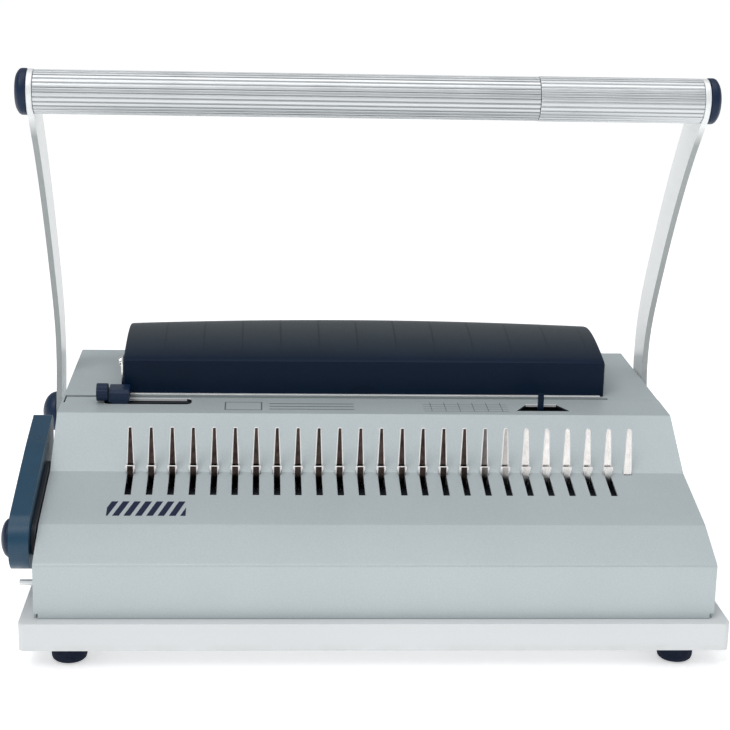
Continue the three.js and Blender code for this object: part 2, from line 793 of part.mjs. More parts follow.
piece('opener_lever', openerLever(), leverBlue);
piece('opener_lever_cap', domeCap(12.8, 6.6, LEVER_OUT_X - GAP, -1, LEVER_AXIS), navyPlastic);
piece('opener_lever_plate', leverPlate(), darkSteel);
piece('opener_crank', leverCrank(), plainSteel);
piece('opener_link', openerLink(), plainSteel);
piece('opener_shaft', rodX(OPENER_SHAFT_RADIUS, -YOKE_CRANK_X[1], YOKE_CRANK_X[1], SHAFT_AXIS), brightSteel);
piece('yoke_crank_left', yokeCrank(-1), plainSteel);
piece('yoke_crank_right', yokeCrank(1), plainSteel);
piece('lever_stop_pin', rodX(2, -231, -HOUSING_HALF - GAP, [30, 45], 16), brightSteel);

// ---------------------------------------------------------------- punch

function pinHole(index, y0, y1) {
  const x = tineX(index);
  const halfWidth = PIN_WIDTH / 2 + GAP;
  const halfHeight = PIN_HEIGHT / 2 + GAP;
  return box(x - halfWidth, x + halfWidth, y0 - 1, y1 + 1, PUNCH_Z - halfHeight, PUNCH_Z + halfHeight);
}

function piercedPlate(y) {
  const plate = box(-DIE_HALF, DIE_HALF, y[0], y[1], DIE_Z[0], DIE_Z[1]);
  return cut(plate, ...eachOf(HOOK_COUNT, (i) => pinHole(i, y[0], y[1])));
}

function punchBar() {
  const bar = box(-DIE_HALF, DIE_HALF, BAR_Y[0], BAR_Y[1], BAR_Z[0], BAR_Z[1]);
  const pins = eachOf(HOOK_COUNT, (i) => {
    const x = tineX(i);
    const halfHeight = PIN_HEIGHT / 2;
    return box(
      x - PIN_WIDTH / 2,
      x + PIN_WIDTH / 2,
      PIN_TIP_Y,
      BAR_Y[0] + 1,
      PUNCH_Z - halfHeight,
      PUNCH_Z + halfHeight,
    );
  });
  return join(bar, ...pins);
}

piece('die_plate', piercedPlate(DIE_Y), plainSteel);
piece('punch_guide_plate', piercedPlate(GUIDE_Y), plainSteel);
piece('paper_stop', box(-DIE_HALF, DIE_HALF, DIE_Y[1] + GAP, GUIDE_Y[0] - GAP, 98, 106.4), plainSteel);
piece('punch_bar', punchBar(), brightSteel);

// ---------------------------------------------------------------- handle

function armSpine() {
  const spine = new THREE.SplineCurve([
    new THREE.Vector2(HANDLE_AXIS[0], HANDLE_AXIS[1] - 22),
    new THREE.Vector2(HANDLE_AXIS[0], HANDLE_AXIS[1]),
    new THREE.Vector2(256, 138),
    new THREE.Vector2(249, 178),
    new THREE.Vector2(221, 230),
    new THREE.Vector2(188, 281),
    new THREE.Vector2(156, 322),
    new THREE.Vector2(GRIP_AXIS[0] + 3, GRIP_AXIS[1] - 2),
  ]);
  return spine.getPoints(16).map((p) => [p.x, p.y]);
}

function handleArm(x0) {
  const spine = armSpine();
  const front = offsetChain(spine, -ARM_HALF_WIDTH);
  const back = offsetChain(spine, ARM_HALF_WIDTH).reverse();
  const bar = alongX(outline([...front, ...back]), x0, x0 + ARM_THICK);
  const eye = rodX(EYE_RADIUS, x0, x0 + ARM_THICK, GRIP_AXIS, 26);
  const toe = rodX(ARM_HALF_WIDTH, x0, x0 + ARM_THICK, [HANDLE_AXIS[0], HANDLE_AXIS[1] - 22], 20);
  return cut(
    join(bar, eye, toe),
    rodX(HANDLE_SHAFT_RADIUS + GAP, x0 - 1, x0 + ARM_THICK + 1, HANDLE_AXIS, 20),
    rodX(5 + GAP, x0 - 1, x0 + ARM_THICK + 1, GRIP_AXIS, 20),
  );
}

// Fluted tube with a plain bore; the phase turns the flutes about the axis.
function gripTube(radius, x0, x1, phase) {
  const perFlute = [
    [0, 1],
    [0.42, 1],
    [0.6, 0],
    [0.82, 0],
  ];
  const ring = eachOf(FLUTES, (i) =>
    perFlute.map(([at, crest]) => {
      const angle = ((i + at + phase) / FLUTES) * 360;
      return polar(GRIP_AXIS, radius - FLUTE_DEPTH * (1 - crest), angle);
    }),
  ).flat();
  return cut(alongX(outline(ring), x0, x1), rodX(GRIP_BORE, x0 - 1, x1 + 1, GRIP_AXIS, 24));
}

function gripCap(faceX, direction) {
  const profile = [
    [0, 0],
    [15, 0],
    [15.4, 0.6],
    [15.4, 4.4],
    [14, 6.4],
    [10.6, 7.5],
    [5.6, 7.9],
    [0, 8],
  ];
  return turnedX(profile, faceX, direction, GRIP_AXIS);
}

function punchCam(x) {
  const sweep = THREE.MathUtils.degToRad(HANDLE_SWING_DEG);
  const standoff = HANDLE_AXIS[0] - BAR_Y[1];
  const contactHeight = PUNCH_STROKE / sweep;
  const face = eachOf(12, (i) => {
    const turn = (i / 11) * sweep;
    const reach = standoff - GAP + (PUNCH_STROKE * turn) / sweep;
    const point = new THREE.Vector2(-reach, contactHeight).rotateAround(new THREE.Vector2(0, 0), -turn);
    return [HANDLE_AXIS[0] + point.x, HANDLE_AXIS[1] + point.y];
  });
  const tip = face[face.length - 1];
  const lobe = outline([
    [HANDLE_AXIS[0] - 10, HANDLE_AXIS[1] - 8],
    ...face,
    [tip[0] + 7, tip[1] - 1],
    [HANDLE_AXIS[0] + 11, HANDLE_AXIS[1] + 8],
  ]);
  return cut(
    join(alongX(lobe, x[0], x[1]), rodX(14, x[0], x[1], HANDLE_AXIS, 20)),
    rodX(HANDLE_SHAFT_RADIUS + GAP, x[0] - 1, x[1] + 1, HANDLE_AXIS, 20),
  );
}

// Torsion spring that swings the handle back up, wound round the shaft with clearance.
function returnSpring() {
  const turns = 5;
  const perTurn = 9;
  const points = eachOf(turns * perTurn + 1, (i) => {
    const [y, z] = polar(HANDLE_AXIS, 10.2, (i / perTurn) * 360);
    return new THREE.Vector3(174 + (i / perTurn) * 3.6, y, z);
  });
  const wire = outline(eachOf(5, (i) => polar([0, 0], 1.1, i * 72)));
  const path = new THREE.CatmullRomCurve3(points);
  return new THREE.ExtrudeGeometry(wire, { steps: turns * perTurn, bevelEnabled: false, extrudePath: path });
}

const armLeftOut = ARM_LEFT_IN - ARM_THICK;
const armRightOut = ARM_RIGHT_IN + ARM_THICK;

piece('handle_shaft', rodX(HANDLE_SHAFT_RADIUS, armLeftOut, armRightOut, HANDLE_AXIS, 20), brightSteel);
piece('handle_arm_left', handleArm(armLeftOut), silverPaint);
piece('handle_arm_right', handleArm(ARM_RIGHT_IN), silverPaint);
piece('handle_pivot_cap_left', domeCap(15.2, 11.4, armLeftOut - GAP, -1, HANDLE_AXIS), navyPlastic);
piece('handle_pivot_cap_right', domeCap(15.2, 11.4, armRightOut + GAP, 1, HANDLE_AXIS), navyPlastic);
piece('grip_rod', rodX(5, armLeftOut + 0.2, armRightOut - 0.2, GRIP_AXIS, 20), plainSteel);
piece('grip_tube_long', gripTube(GRIP_RADIUS, ARM_LEFT_IN + GAP, GRIP_JOINT_X, 0), gripAluminium);
piece(
  'grip_tube_short',
  gripTube(GRIP_RADIUS + 0.35, GRIP_JOINT_X + GAP, ARM_RIGHT_IN - GAP, 0.5),
  gripAluminium,
);
piece('grip_cap_left', gripCap(armLeftOut - GAP, -1), navyPlastic);
piece('grip_cap_right', gripCap(armRightOut + GAP, 1), navyPlastic);
piece('punch_cam_left', punchCam([-CAM_X[1], -CAM_X[0]]), plainSteel);
piece('punch_cam_right', punchCam(CAM_X), plainSteel);
piece('handle_return_spring', returnSpring(), darkSteel);

// ---------------------------------------------------------------- edge guide and margin pointer

function edgeGuide() {
  const seat = skinZ(GUIDE_SLOT_Y[1]) + GAP + 0.3;
  const profile = outline([
    [164.6, seat],
    [184.4, seat],
    [184.4, seat + 7.4],
    [182.6, seat + 8.8],
    [166.8, seat + 8.8],
    [164.6, seat + 6.6],
  ]);
  const tongue = box(-182, -171, GUIDE_SLOT_Y[0] + 0.4, DIE_Y[0] - 0.4, seat - 5, seat + 1);
  const spigot = rodX(2, -187.5, -183, [KNOB_Y, seat + 6.6], 16);
  return join(alongX(profile, -184.4, -170), tongue, spigot);
}

function edgeKnob() {
  const seat = skinZ(GUIDE_SLOT_Y[1]) + GAP + 0.3;
  const centre = [KNOB_Y, seat + 6.6];
  const ribs = 18;
  const ring = eachOf(ribs * 2, (i) => polar(centre, i % 2 ? 6 : 6.5, (i / (ribs * 2)) * 360));
  return cut(alongX(outline(ring), -193, -184.7), rodX(2 + GAP, -187.8, -184, centre, 16));
}

function marginPointer() {
  const under = skinZ(158) - SHEET - GAP;
  const finger = outline([
    [155.6, under - 4],
    [159.4, under - 4],
    [159.4, under + 10],
    [158.2, under + 13.2],
    [156.6, under + 13.2],
    [155.6, under + 10],
  ]);
  const slider = box(POINTER_X[0] - 5, POINTER_X[1] + 5, 155, 162, under - 5, under - 2.4);
  return join(alongX(finger, POINTER_X[0], POINTER_X[1]), slider);
}

piece('edge_guide', edgeGuide(), navyPlastic);
piece('edge_guide_knob', edgeKnob(), navyPlastic);
piece('margin_pointer', marginPointer(), navyPlastic);

// ---------------------------------------------------------------- origin at the bottom centre of the whole

const extent = new THREE.Box3().setFromObject(machine);
const middle = extent.getCenter(new THREE.Vector3());
machine.position.set(-middle.x, -middle.y, -extent.min.z);

const part = new THREE.Group();
part.name = 'part';
part.add(machine);

export default part;
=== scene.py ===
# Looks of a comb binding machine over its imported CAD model. Row frame, +Z up, +X to the operator's right.
import math

import bmesh
import bpy
from mathutils import Matrix, Vector


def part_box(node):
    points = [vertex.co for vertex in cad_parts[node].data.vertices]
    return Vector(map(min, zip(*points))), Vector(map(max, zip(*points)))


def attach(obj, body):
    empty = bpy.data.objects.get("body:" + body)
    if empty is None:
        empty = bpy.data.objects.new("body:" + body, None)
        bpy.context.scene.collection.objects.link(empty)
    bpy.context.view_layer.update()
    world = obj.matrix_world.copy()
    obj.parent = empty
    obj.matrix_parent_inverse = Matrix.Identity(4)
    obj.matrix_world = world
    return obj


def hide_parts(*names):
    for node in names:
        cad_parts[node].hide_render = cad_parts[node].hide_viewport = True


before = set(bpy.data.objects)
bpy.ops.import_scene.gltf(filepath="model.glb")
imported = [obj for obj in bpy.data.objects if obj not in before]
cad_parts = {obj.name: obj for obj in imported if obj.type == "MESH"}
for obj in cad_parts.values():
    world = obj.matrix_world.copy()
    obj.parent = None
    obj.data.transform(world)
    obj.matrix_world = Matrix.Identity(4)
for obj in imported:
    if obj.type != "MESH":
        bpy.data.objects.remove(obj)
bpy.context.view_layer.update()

# ---------------------------------------------------------------- driving dimensions

# Dimensions are millimetres from the machine's datum: the housing's front face, the middle of its length
# and the surface the feet stand on. row() turns them into metres in the row frame.
MM = 0.001
DATUM = (3.5, -166.0)

PITCH = 14.2875
FIRST_TINE_X = -163.8
TINE_COUNT = 25
HOOK_COUNT = 24

GRIP_AXIS = (126.0, 353.0)
GRIP_RADIUS = 14.6
GRIP_BORE = 12.4
FLUTES = 28
FLUTE_DEPTH = 0.7
HANDLE_AXIS = (248.0, 99.0)
ARM_HALF_WIDTH = 15.0
ARM_SPINE = [
    (248.0, 77.0),
    (248.0, 99.0),
    (256.0, 138.0),
    (249.0, 178.0),
    (221.0, 230.0),
    (188.0, 281.0),
    (156.0, 322.0),
]
LEVER_AXIS = (32.0, 75.0)
LEVER_HUB_RADIUS = 20.0
THROAT_X = (-217.0, 181.0)
THROAT_FRONT_Y = 180.2
THROAT_REAR_Y = 184.5
HOOD_FRONT_Y = 188.0
HOOD_REAR_Y = 300.0
HOOD_CREASE_Z = 155.0
HOOD_TOP_Z = 166.0
HOOD_CROWN = 4.2
HOOD_WALL = 2.5
HOOD_SEAT_GAP = 0.3


def row(x, y, z):
    return Vector(((x + DATUM[0]) * MM, (y + DATUM[1]) * MM, z * MM))


def extent(node):
    """(x0, x1, y0, y1, z0, z1) of a CAD node in datum millimetres."""
    low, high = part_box(node)
    x0, y0, z0 = (low.x / MM - DATUM[0], low.y / MM - DATUM[1], low.z / MM)
    x1, y1, z1 = (high.x / MM - DATUM[0], high.y / MM - DATUM[1], high.z / MM)
    return x0, x1, y0, y1, z0, z1


# ---------------------------------------------------------------- camera, floor and light

CAMERA_AT = Vector((-0.0730, -1.1496, 0.4491))
CAMERA_YAW = math.radians(2.828)
CAMERA_PITCH = math.radians(14.061)
CAMERA_ROLL = math.radians(1.079)
CAMERA_LENS = 81.37
CAMERA_SHIFT = (0.0367, -0.0058)


def make_camera():
    data = bpy.data.cameras.new("view")
    data.lens = CAMERA_LENS
    data.sensor_width = 36
    data.shift_x, data.shift_y = CAMERA_SHIFT
    data.clip_end = 200
    ahead = Vector((
        math.sin(CAMERA_YAW) * math.cos(CAMERA_PITCH),
        math.cos(CAMERA_YAW) * math.cos(CAMERA_PITCH),
        -math.sin(CAMERA_PITCH),
    ))
    level = Vector((math.cos(CAMERA_YAW), -math.sin(CAMERA_YAW), 0))
    above = level.cross(ahead)
    right = level * math.cos(CAMERA_ROLL) + above * math.sin(CAMERA_ROLL)
    up = above * math.cos(CAMERA_ROLL) - level * math.sin(CAMERA_ROLL)
    camera = bpy.data.objects.new("view", data)
    turn = Matrix((right, up, -ahead)).transposed().to_4x4()
    camera.matrix_world = Matrix.Translation(CAMERA_AT) @ turn
    bpy.context.scene.collection.objects.link(camera)
    bpy.context.scene.camera = camera


def make_light(name, kind, place, target, energy, colour=(1, 1, 1), **settings):
    data = bpy.data.lights.new(name, kind)
    data.energy = energy
    data.color = colour
    for key, value in settings.items():
        setattr(data, key, value)
    light = bpy.data.objects.new(name, data)
    light.location = place
    light.rotation_euler = (Vector(target) - Vector(place)).to_track_quat("-Z", "Y").to_euler()
    bpy.context.scene.collection.objects.link(light)


def light_studio():
    world = bpy.data.worlds.new("studio")
    world.use_nodes = True
    background = world.node_tree.nodes["Background"]
    background.inputs["Color"].default_value = (0.95, 0.98, 1.0, 1)
    background.inputs["Strength"].default_value = 0.40
    bpy.context.scene.world = world
    make_light("key", "SUN", (-1.4, -2.0, 2.9), (0, 0, 0.1), 0.88, angle=math.radians(28))
    make_light("overhead", "AREA", (0.0, -0.1, 1.9), (0, 0, 0.1), 12, shape="RECTANGLE", size=2.2, size_y=1.2)
    make_light("front", "AREA", (-0.4, -2.4, 1.0), (0, 0, 0.1), 0.8, shape="RECTANGLE", size=2.4, size_y=1.2)
    bpy.context.scene.view_settings.view_transform = "Standard"


def lay_floor():
    half = 40.0
    mesh = bpy.data.meshes.new("floor")
    corners = [(-half, -half, 0), (half, -half, 0), (half, half, 0), (-half, half, 0)]
    mesh.from_pydata([Vector(c) - Vector((0, 0, 0.0001)) for c in corners], [], [(0, 1, 2, 3)])
    floor = bpy.data.objects.new("floor", mesh)
    bpy.context.scene.collection.objects.link(floor)
    floor.data.materials.append(floor_material())


# ---------------------------------------------------------------- material recipes


class Recipe:
    """A procedural material built round one Principled shader, in the row frame's own coordinates."""

    def __init__(self, name, metallic=0.0, **sockets):
        self.material = bpy.data.materials.new(name)
        self.material.use_nodes = True
        self.tree = self.material.node_tree
        self.shader = self.tree.nodes["Principled BSDF"]
        self.shader.inputs["Metallic"].default_value = metallic
        for socket, value in sockets.items():
            self.shader.inputs[socket.replace("_", " ")].default_value = value
        self.place = self.add("ShaderNodeTexCoord").outputs["Object"]

    def add(self, kind, **settings):
        node = self.tree.nodes.new(kind)
        for key, value in settings.items():
            setattr(node, key, value)
        return node

    def put(self, socket, value):
        """Links an output to a socket, or sets the socket's own value."""
        if isinstance(value, bpy.types.NodeSocket):
            self.tree.links.new(value, socket)
        else:
            socket.default_value = value

    def noise(self, size, detail=2.0, stretch=(1, 1, 1), roughness=0.5):
        """Noise from 0 to 1 whose features are about size millimetres, drawn out along an axis by stretch."""
        mapping = self.add("ShaderNodeMapping")
        mapping.inputs["Scale"].default_value = [1 / (size * MM * s) for s in stretch]
        self.put(mapping.inputs["Vector"], self.place)
        texture = self.add("ShaderNodeTexNoise")
        texture.inputs["Scale"].default_value = 1.0
        texture.inputs["Detail"].default_value = detail
        texture.inputs["Roughness"].default_value = roughness
        self.put(texture.inputs["Vector"], mapping.outputs["Vector"])
        return texture.outputs["Fac"]

    def cells(self, size):
        """Distance to the nearest of scattered points, for specks and moulded grain."""
        mapping = self.add("ShaderNodeMapping")
        mapping.inputs["Scale"].default_value = [1 / (size * MM)] * 3
        self.put(mapping.inputs["Vector"], self.place)
        texture = self.add("ShaderNodeTexVoronoi")
        texture.inputs["Scale"].default_value = 1.0
        self.put(texture.inputs["Vector"], mapping.outputs["Vector"])
        return texture.outputs["Distance"]

    def math(self, operation, a, b=0.0, c=0.0):
        node = self.add("ShaderNodeMath", operation=operation)
        for socket, value in zip(node.inputs, (a, b, c)):
            self.put(socket, value)
        return node.outputs["Value"]

    def spread(self, value, low, high, start=0.3, end=0.7):
        node = self.add("ShaderNodeMapRange")
        for socket, number in zip(("From Min", "From Max", "To Min", "To Max"), (start, end, low, high)):
            node.inputs[socket].default_value = number
        self.put(node.inputs["Value"], value)
        return node.outputs["Result"]

    def tint(self, colour, *wobbles):
        """The colour made lighter and darker by each (noise, amount)."""
        shade = 1.0
        for value, amount in wobbles:
            shade = self.math("MULTIPLY", self.spread(value, 1 - amount, 1 + amount), shade)
        node = self.add("ShaderNodeVectorMath", operation="SCALE")
        node.inputs[0].default_value = colour
        self.put(node.inputs["Scale"], shade)
        return node.outputs["Vector"]

    def mix(self, factor, a, b):
        node = self.add("ShaderNodeMix", data_type="RGBA")
        self.put(node.inputs["Factor"], factor)
        for name, value in (("A", a), ("B", b)):
            socket = [s for s in node.inputs if s.name == name and s.type == "RGBA"][0]
            self.put(socket, value if isinstance(value, bpy.types.NodeSocket) else (*value, 1))
        return [s for s in node.outputs if s.type == "RGBA"][0]

    def bump(self, height, depth, below=None):
        """Relief of depth millimetres, over another relief if below is given."""
        node = self.add("ShaderNodeBump")
        node.inputs["Distance"].default_value = depth * MM
        self.put(node.inputs["Height"], height)
        if below is not None:
            self.put(node.inputs["Normal"], below)
        return node.outputs["Normal"]

    def done(self, colour, roughness, normal=None):
        self.put(self.shader.inputs["Base Color"], colour)
        self.put(self.shader.inputs["Roughness"], roughness)
        if normal is not None:
            self.put(self.shader.inputs["Normal"], normal)
        return self.material

    def axes(self):
        node = self.add("ShaderNodeSeparateXYZ")
        self.put(node.inputs["Vector"], self.place)
        return node.outputs["X"], node.outputs["Y"], node.outputs["Z"]

    def facing(self):
        """How far the surface faces along X, along Y and upward."""
        node = self.add("ShaderNodeSeparateXYZ")
        self.put(node.inputs["Vector"], self.add("ShaderNodeNewGeometry").outputs["Normal"])
        along = [self.math("ABSOLUTE", node.outputs[axis]) for axis in ("X", "Y")]
        return *along, node.outputs["Z"]

    def band(self, value, low, high):
        """1 where the value lies between two numbers."""
        return self.math("COMPARE", value, (low + high) / 2, (high - low) / 2)

    def stripes(self, value, period, width):
        """1 over the first part of every period of the value."""
        turn = self.math("FRACT", self.math("DIVIDE", value, period))
        return self.math("LESS_THAN", turn, width / period)


def floor_material():
    r = Recipe("studio_floor", Emission_Color=(1, 1, 1, 1), Emission_Strength=0.48)
    colour = r.tint((0.93, 0.93, 0.93), (r.noise(400, 3), 0.01))
    return r.done(colour, r.spread(r.noise(150), 0.6, 0.7))


def span(a, b, offset):
    return (a + offset) * MM, (b + offset) * MM


def rectangle(r, x0, x1, y0, y1):
    """1 inside a rectangle seen from above, in datum millimetres."""
    x, y, _ = r.axes()
    dx, dy = DATUM
    return r.math("MULTIPLY", r.band(x, *span(x0, x1, dx)), r.band(y, *span(y0, y1, dy)))


def printed_marks(r):
    """Plain printed marks: slanted bars, a framed panel with rules beside it, and an empty grid."""
    x, y, _ = r.axes()

    def patch(x0, x1, y0, y1):
        return rectangle(r, x0, x1, y0, y1)

    slanted = r.math("SUBTRACT", x, r.math("MULTIPLY", y, 0.35))
    bars = r.math("MULTIPLY", patch(-176, -124, 44, 61), r.stripes(slanted, 7.4 * MM, 4.4 * MM))
    frame_mark = r.math("SUBTRACT", patch(-101, -74, 151, 170), patch(-100, -75, 152, 169))
    rows = r.stripes(r.math("ADD", y, 13.2 * MM), 6.4 * MM, 1.5 * MM)
    rules = r.math("MULTIPLY", patch(-69, -8, 152.5, 169), rows)
    lines = r.math("MAXIMUM", r.stripes(x, 10.2 * MM, 0.5 * MM), r.stripes(y, 5.2 * MM, 0.7 * MM))
    grid = r.math("MULTIPLY", patch(42, 103.5, 150, 171), lines)
    thin = r.math("MAXIMUM", r.math("MAXIMUM", frame_mark, rules), grid)
    marks = r.math("MAXIMUM", bars, r.math("MULTIPLY", thin, 0.7))
    return r.math("MULTIPLY", marks, r.math("GREATER_THAN", r.facing()[2], 0.3))


def painted_slot_shade(r):
    """1 on the walls round the guide slot and the pointer notch, which are painted in a dark tone as painted
    shade.
    """
    guide = rectangle(r, -189, -124, 162, 178)
    notch = rectangle(r, 107, 149, 151, 168)
    return r.math("MULTIPLY", r.math("MAXIMUM", guide, notch), r.math("LESS_THAN", r.facing()[2], 0.75))


def painted_slot_highlights(r):
    """1 on the painted highlights: strips along the rear edge of the guide slot and of the pointer notch."""
    guide = rectangle(r, -186, -126, 176.4, 178.4)
    notch = rectangle(r, 117.5, 140, 166.9, 168.9)
    return r.math("MAXIMUM", guide, notch)


def powder_coat(name, colour, marks=False):
    r = Recipe(name, metallic=0.3, Specular_IOR_Level=0.45)
    grain = r.noise(0.5, 3, roughness=0.7)
    flake = r.cells(0.8)
    shade = r.tint(colour, (grain, 0.05), (r.noise(70, 2), 0.02), (flake, 0.035))
    # With marks, the coat gets print, painted shade on the slot walls and painted highlights along the slot
    # edges.
    if marks:
        shade = r.mix(printed_marks(r), shade, (0.006, 0.011, 0.05))
        # Painted shade on the walls of the guide slot and the pointer notch.
        shade = r.mix(painted_slot_shade(r), shade, (0.02, 0.024, 0.035))
        # Painted highlights along the rear edges of the guide slot and the pointer notch.
        shade = r.mix(painted_slot_highlights(r), shade, (0.93, 0.94, 0.95))
    rough = r.spread(r.math("ADD", r.noise(0.9), r.math("MULTIPLY", r.noise(45), 0.3)), 0.40, 0.54, 0.4, 0.9)
    relief = r.bump(grain, 0.03, r.bump(r.noise(2.6, 1), 0.03))
    return r.done(shade, rough, relief)


def tray_paint():
    r = Recipe("tray_white", Specular_IOR_Level=0.5)
    grain = r.noise(0.6, 3)
    _, _, z = r.axes()
    # Darker towards the bottom edge, in blotches.
    darker_low_down = r.math("MULTIPLY", r.spread(z, 1.0, 0.0, 0.0138, 0.019), r.spread(r.noise(14, 4), 0.0, 0.5))
    shade = r.mix(darker_low_down, r.tint((0.71, 0.73, 0.74), (grain, 0.02), (r.noise(90), 0.012)), (0.6, 0.6, 0.58))
    return r.done(shade, r.spread(r.noise(1.2), 0.38, 0.5), r.bump(grain, 0.02))


def moulded(name, colour, rough=(0.34, 0.48), grain_size=0.7, grain_depth=0.03, shine=0.22, crown=None):
    r = Recipe(name, Specular_IOR_Level=shine)
    grain = r.cells(grain_size)
    dust = r.noise(22, 4)
    shade = r.tint(colour, (grain, 0.08), (dust, 0.06))
    relief = r.bump(grain, grain_depth, r.bump(r.noise(9, 2), 0.05))
    if crown is not None:
        # Painted sheen: above the crease the hood is painted lighter towards the top, in the crown colour.
        x, _, z = r.axes()
        above = r.spread(z, 0.0, 1.0, (HOOD_CREASE_Z + 1) * MM, (HOOD_TOP_Z + 3) * MM)
        shade = r.mix(above, shade, r.tint(crown, (grain, 0.08), (dust, 0.06)))
        groove = r.math("MULTIPLY", above, r.stripes(r.math("ADD", x, 200.4 * MM), 2 * PITCH * MM, 1.3 * MM))
        relief = r.bump(r.math("SUBTRACT", 1.0, groove), 0.2, relief)
        # Painted shade: the grooves are also painted darker.
        shade = r.mix(r.math("MULTIPLY", groove, 0.5), shade, (0.008, 0.012, 0.02))
    haze = r.math("ADD", r.math("MULTIPLY", r.noise(1.1), 0.6), r.math("MULTIPLY", dust, 0.4))
    return r.done(shade, r.spread(haze, *rough), relief)


def silver_paint():
    r = Recipe("silver_paint", metallic=0.2, Coat_Weight=0.25, Coat_Roughness=0.2)
    peel = r.noise(1.8, 2)
    shade = r.tint((0.90, 0.915, 0.915), (r.noise(0.45, 2), 0.03), (r.noise(60), 0.015))
    # Bare cut edges with painted shade: the arms' narrow faces are painted in a dark tone below a height and
    # stay light above it.
    edge = r.tint((0.36, 0.385, 0.385), (r.noise(0.6, 3), 0.08))
    _, _, z = r.axes()
    narrow = r.spread(r.facing()[0], 1.0, 0.0, 0.35, 0.75)
    low = r.spread(z, 1.0, 0.0, 0.322, 0.336)
    shade = r.mix(r.math("MULTIPLY", narrow, low), shade, edge)
    return r.done(shade, r.spread(r.noise(1.0), 0.3, 0.42), r.bump(peel, 0.04))


def drawn_aluminium():
    r = Recipe("grip_aluminium", metallic=0.75, Anisotropic=0.4)
    draw = r.noise(0.35, 3, stretch=(60, 1, 1))
    wear = r.noise(25, 4)
    shade = r.tint((0.69, 0.71, 0.72), (draw, 0.05), (wear, 0.03))
    _, y, z = r.axes()
    dy = r.math("SUBTRACT", y, (GRIP_AXIS[0] + DATUM[1]) * MM)
    dz = r.math("SUBTRACT", z, GRIP_AXIS[1] * MM)
    radius = r.math("SQRT", r.math("ADD", r.math("MULTIPLY", dy, dy), r.math("MULTIPLY", dz, dz)))
    # Painted shade: the flute grooves, inside the crests' radius, are painted darker.
    groove = r.spread(radius, 1.0, 0.0, (GRIP_RADIUS - 0.35) * MM, GRIP_RADIUS * MM)
    shade = r.mix(r.math("MULTIPLY", groove, 0.5), shade, (0.24, 0.25, 0.26))
    return r.done(shade, r.spread(wear, 0.3, 0.42), r.bump(draw, 0.015))


def bright_steel(name="polished_steel", across=(1, 1, 14)):
    r = Recipe(name, metallic=1.0)
    lines = r.noise(0.3, 3, stretch=across)
    stain = r.noise(6, 3)
    shade = r.tint((0.78, 0.77, 0.75), (lines, 0.05), (stain, 0.05))
    return r.done(shade, r.spread(stain, 0.1, 0.24), r.bump(lines, 0.008))


def satin_plate():
    r = Recipe("satin_plate", metallic=0.25, Specular_IOR_Level=0.6)
    lines = r.noise(0.4, 3, stretch=(40, 1, 1))
    shade = r.tint((0.93, 0.94, 0.94), (lines, 0.04), (r.noise(12, 3), 0.03))
    return r.done(shade, r.spread(lines, 0.2, 0.32), r.bump(lines, 0.01))


def chromed_steel():
    """Painted highlights along the edges round flat faces, and a painted reflection on the faces: dark at the
    left, bright at the right.
    """
    r = Recipe("tine_steel", metallic=1.0)
    x, _, z = r.axes()
    lines = r.noise(0.5, 3, stretch=(1, 1, 14))
    patchy = r.noise(5, 2)
    # Painted reflection: a dark tone and a bright one, mixed by x so the faces go from dark at the left to
    # bright at the right.
    painted_dark_reflection = r.tint((0.042, 0.031, 0.028), (lines, 0.35), (patchy, 0.5))
    painted_bright_reflection = r.tint((0.78, 0.75, 0.73), (lines, 0.10), (patchy, 0.14))
    face = r.mix(r.spread(x, 0.0, 1.0, 0.078, 0.115), painted_dark_reflection, painted_bright_reflection)
    # Painted highlight: rim is 1 along the sides and the bevels of each tine, which are painted near white
    # and made less metallic.
    first = (FIRST_TINE_X + DATUM[0]) * MM
    along = r.math("FRACT", r.math("ADD", r.math("DIVIDE", r.math("SUBTRACT", x, first), PITCH * MM), 0.5))
    off_centre = r.math("MULTIPLY", r.math("ABSOLUTE", r.math("SUBTRACT", along, 0.5)), PITCH * MM)
    half_width = r.spread(z, 0.0027, 0.0016, 0.101, 0.129)
    from_edge = r.math("SUBTRACT", half_width, off_centre)
    painted_side_highlight = r.spread(from_edge, 1.0, 0.0, 0.0003, 0.0008)
    rim = r.math("MAXIMUM", painted_side_highlight, r.spread(r.facing()[1], 1.0, 0.0, 0.86, 0.97))
    shade = r.mix(rim, face, (0.97, 0.95, 0.93))
    r.put(r.shader.inputs["Metallic"], r.math("SUBTRACT", 1.0, r.math("MULTIPLY", rim, 0.8)))
    return r.done(shade, r.spread(patchy, 0.12, 0.26), r.bump(lines, 0.008))


def rolled_steel():
    r = Recipe("plain_steel", metallic=0.9)
    lines = r.noise(0.5, 3, stretch=(30, 1, 1))
    bloom = r.noise(12, 4)
    shade = r.tint((0.50, 0.51, 0.52), (lines, 0.08), (bloom, 0.10), (r.cells(5), 0.05))
    return r.done(shade, r.spread(bloom, 0.32, 0.52), r.bump(lines, 0.02))


def blackened_steel():
    r = Recipe("dark_steel", metallic=0.4)
    grain = r.noise(0.8, 3)
    shade = r.tint((0.022, 0.026, 0.034), (grain, 0.15), (r.noise(15), 0.1))
    return r.done(shade, r.spread(grain, 0.4, 0.55), r.bump(grain, 0.03))


def foot_rubber():
    r = Recipe("black_rubber", Specular_IOR_Level=0.12)
    specks = r.cells(0.9)
    dust = r.noise(4, 4)
    shade = r.mix(r.spread(dust, 0.0, 0.05), r.tint((0.004, 0.009, 0.026), (specks, 0.2)), (0.2, 0.2, 0.2))
    return r.done(shade, r.spread(dust, 0.6, 0.8), r.bump(specks, 0.05))


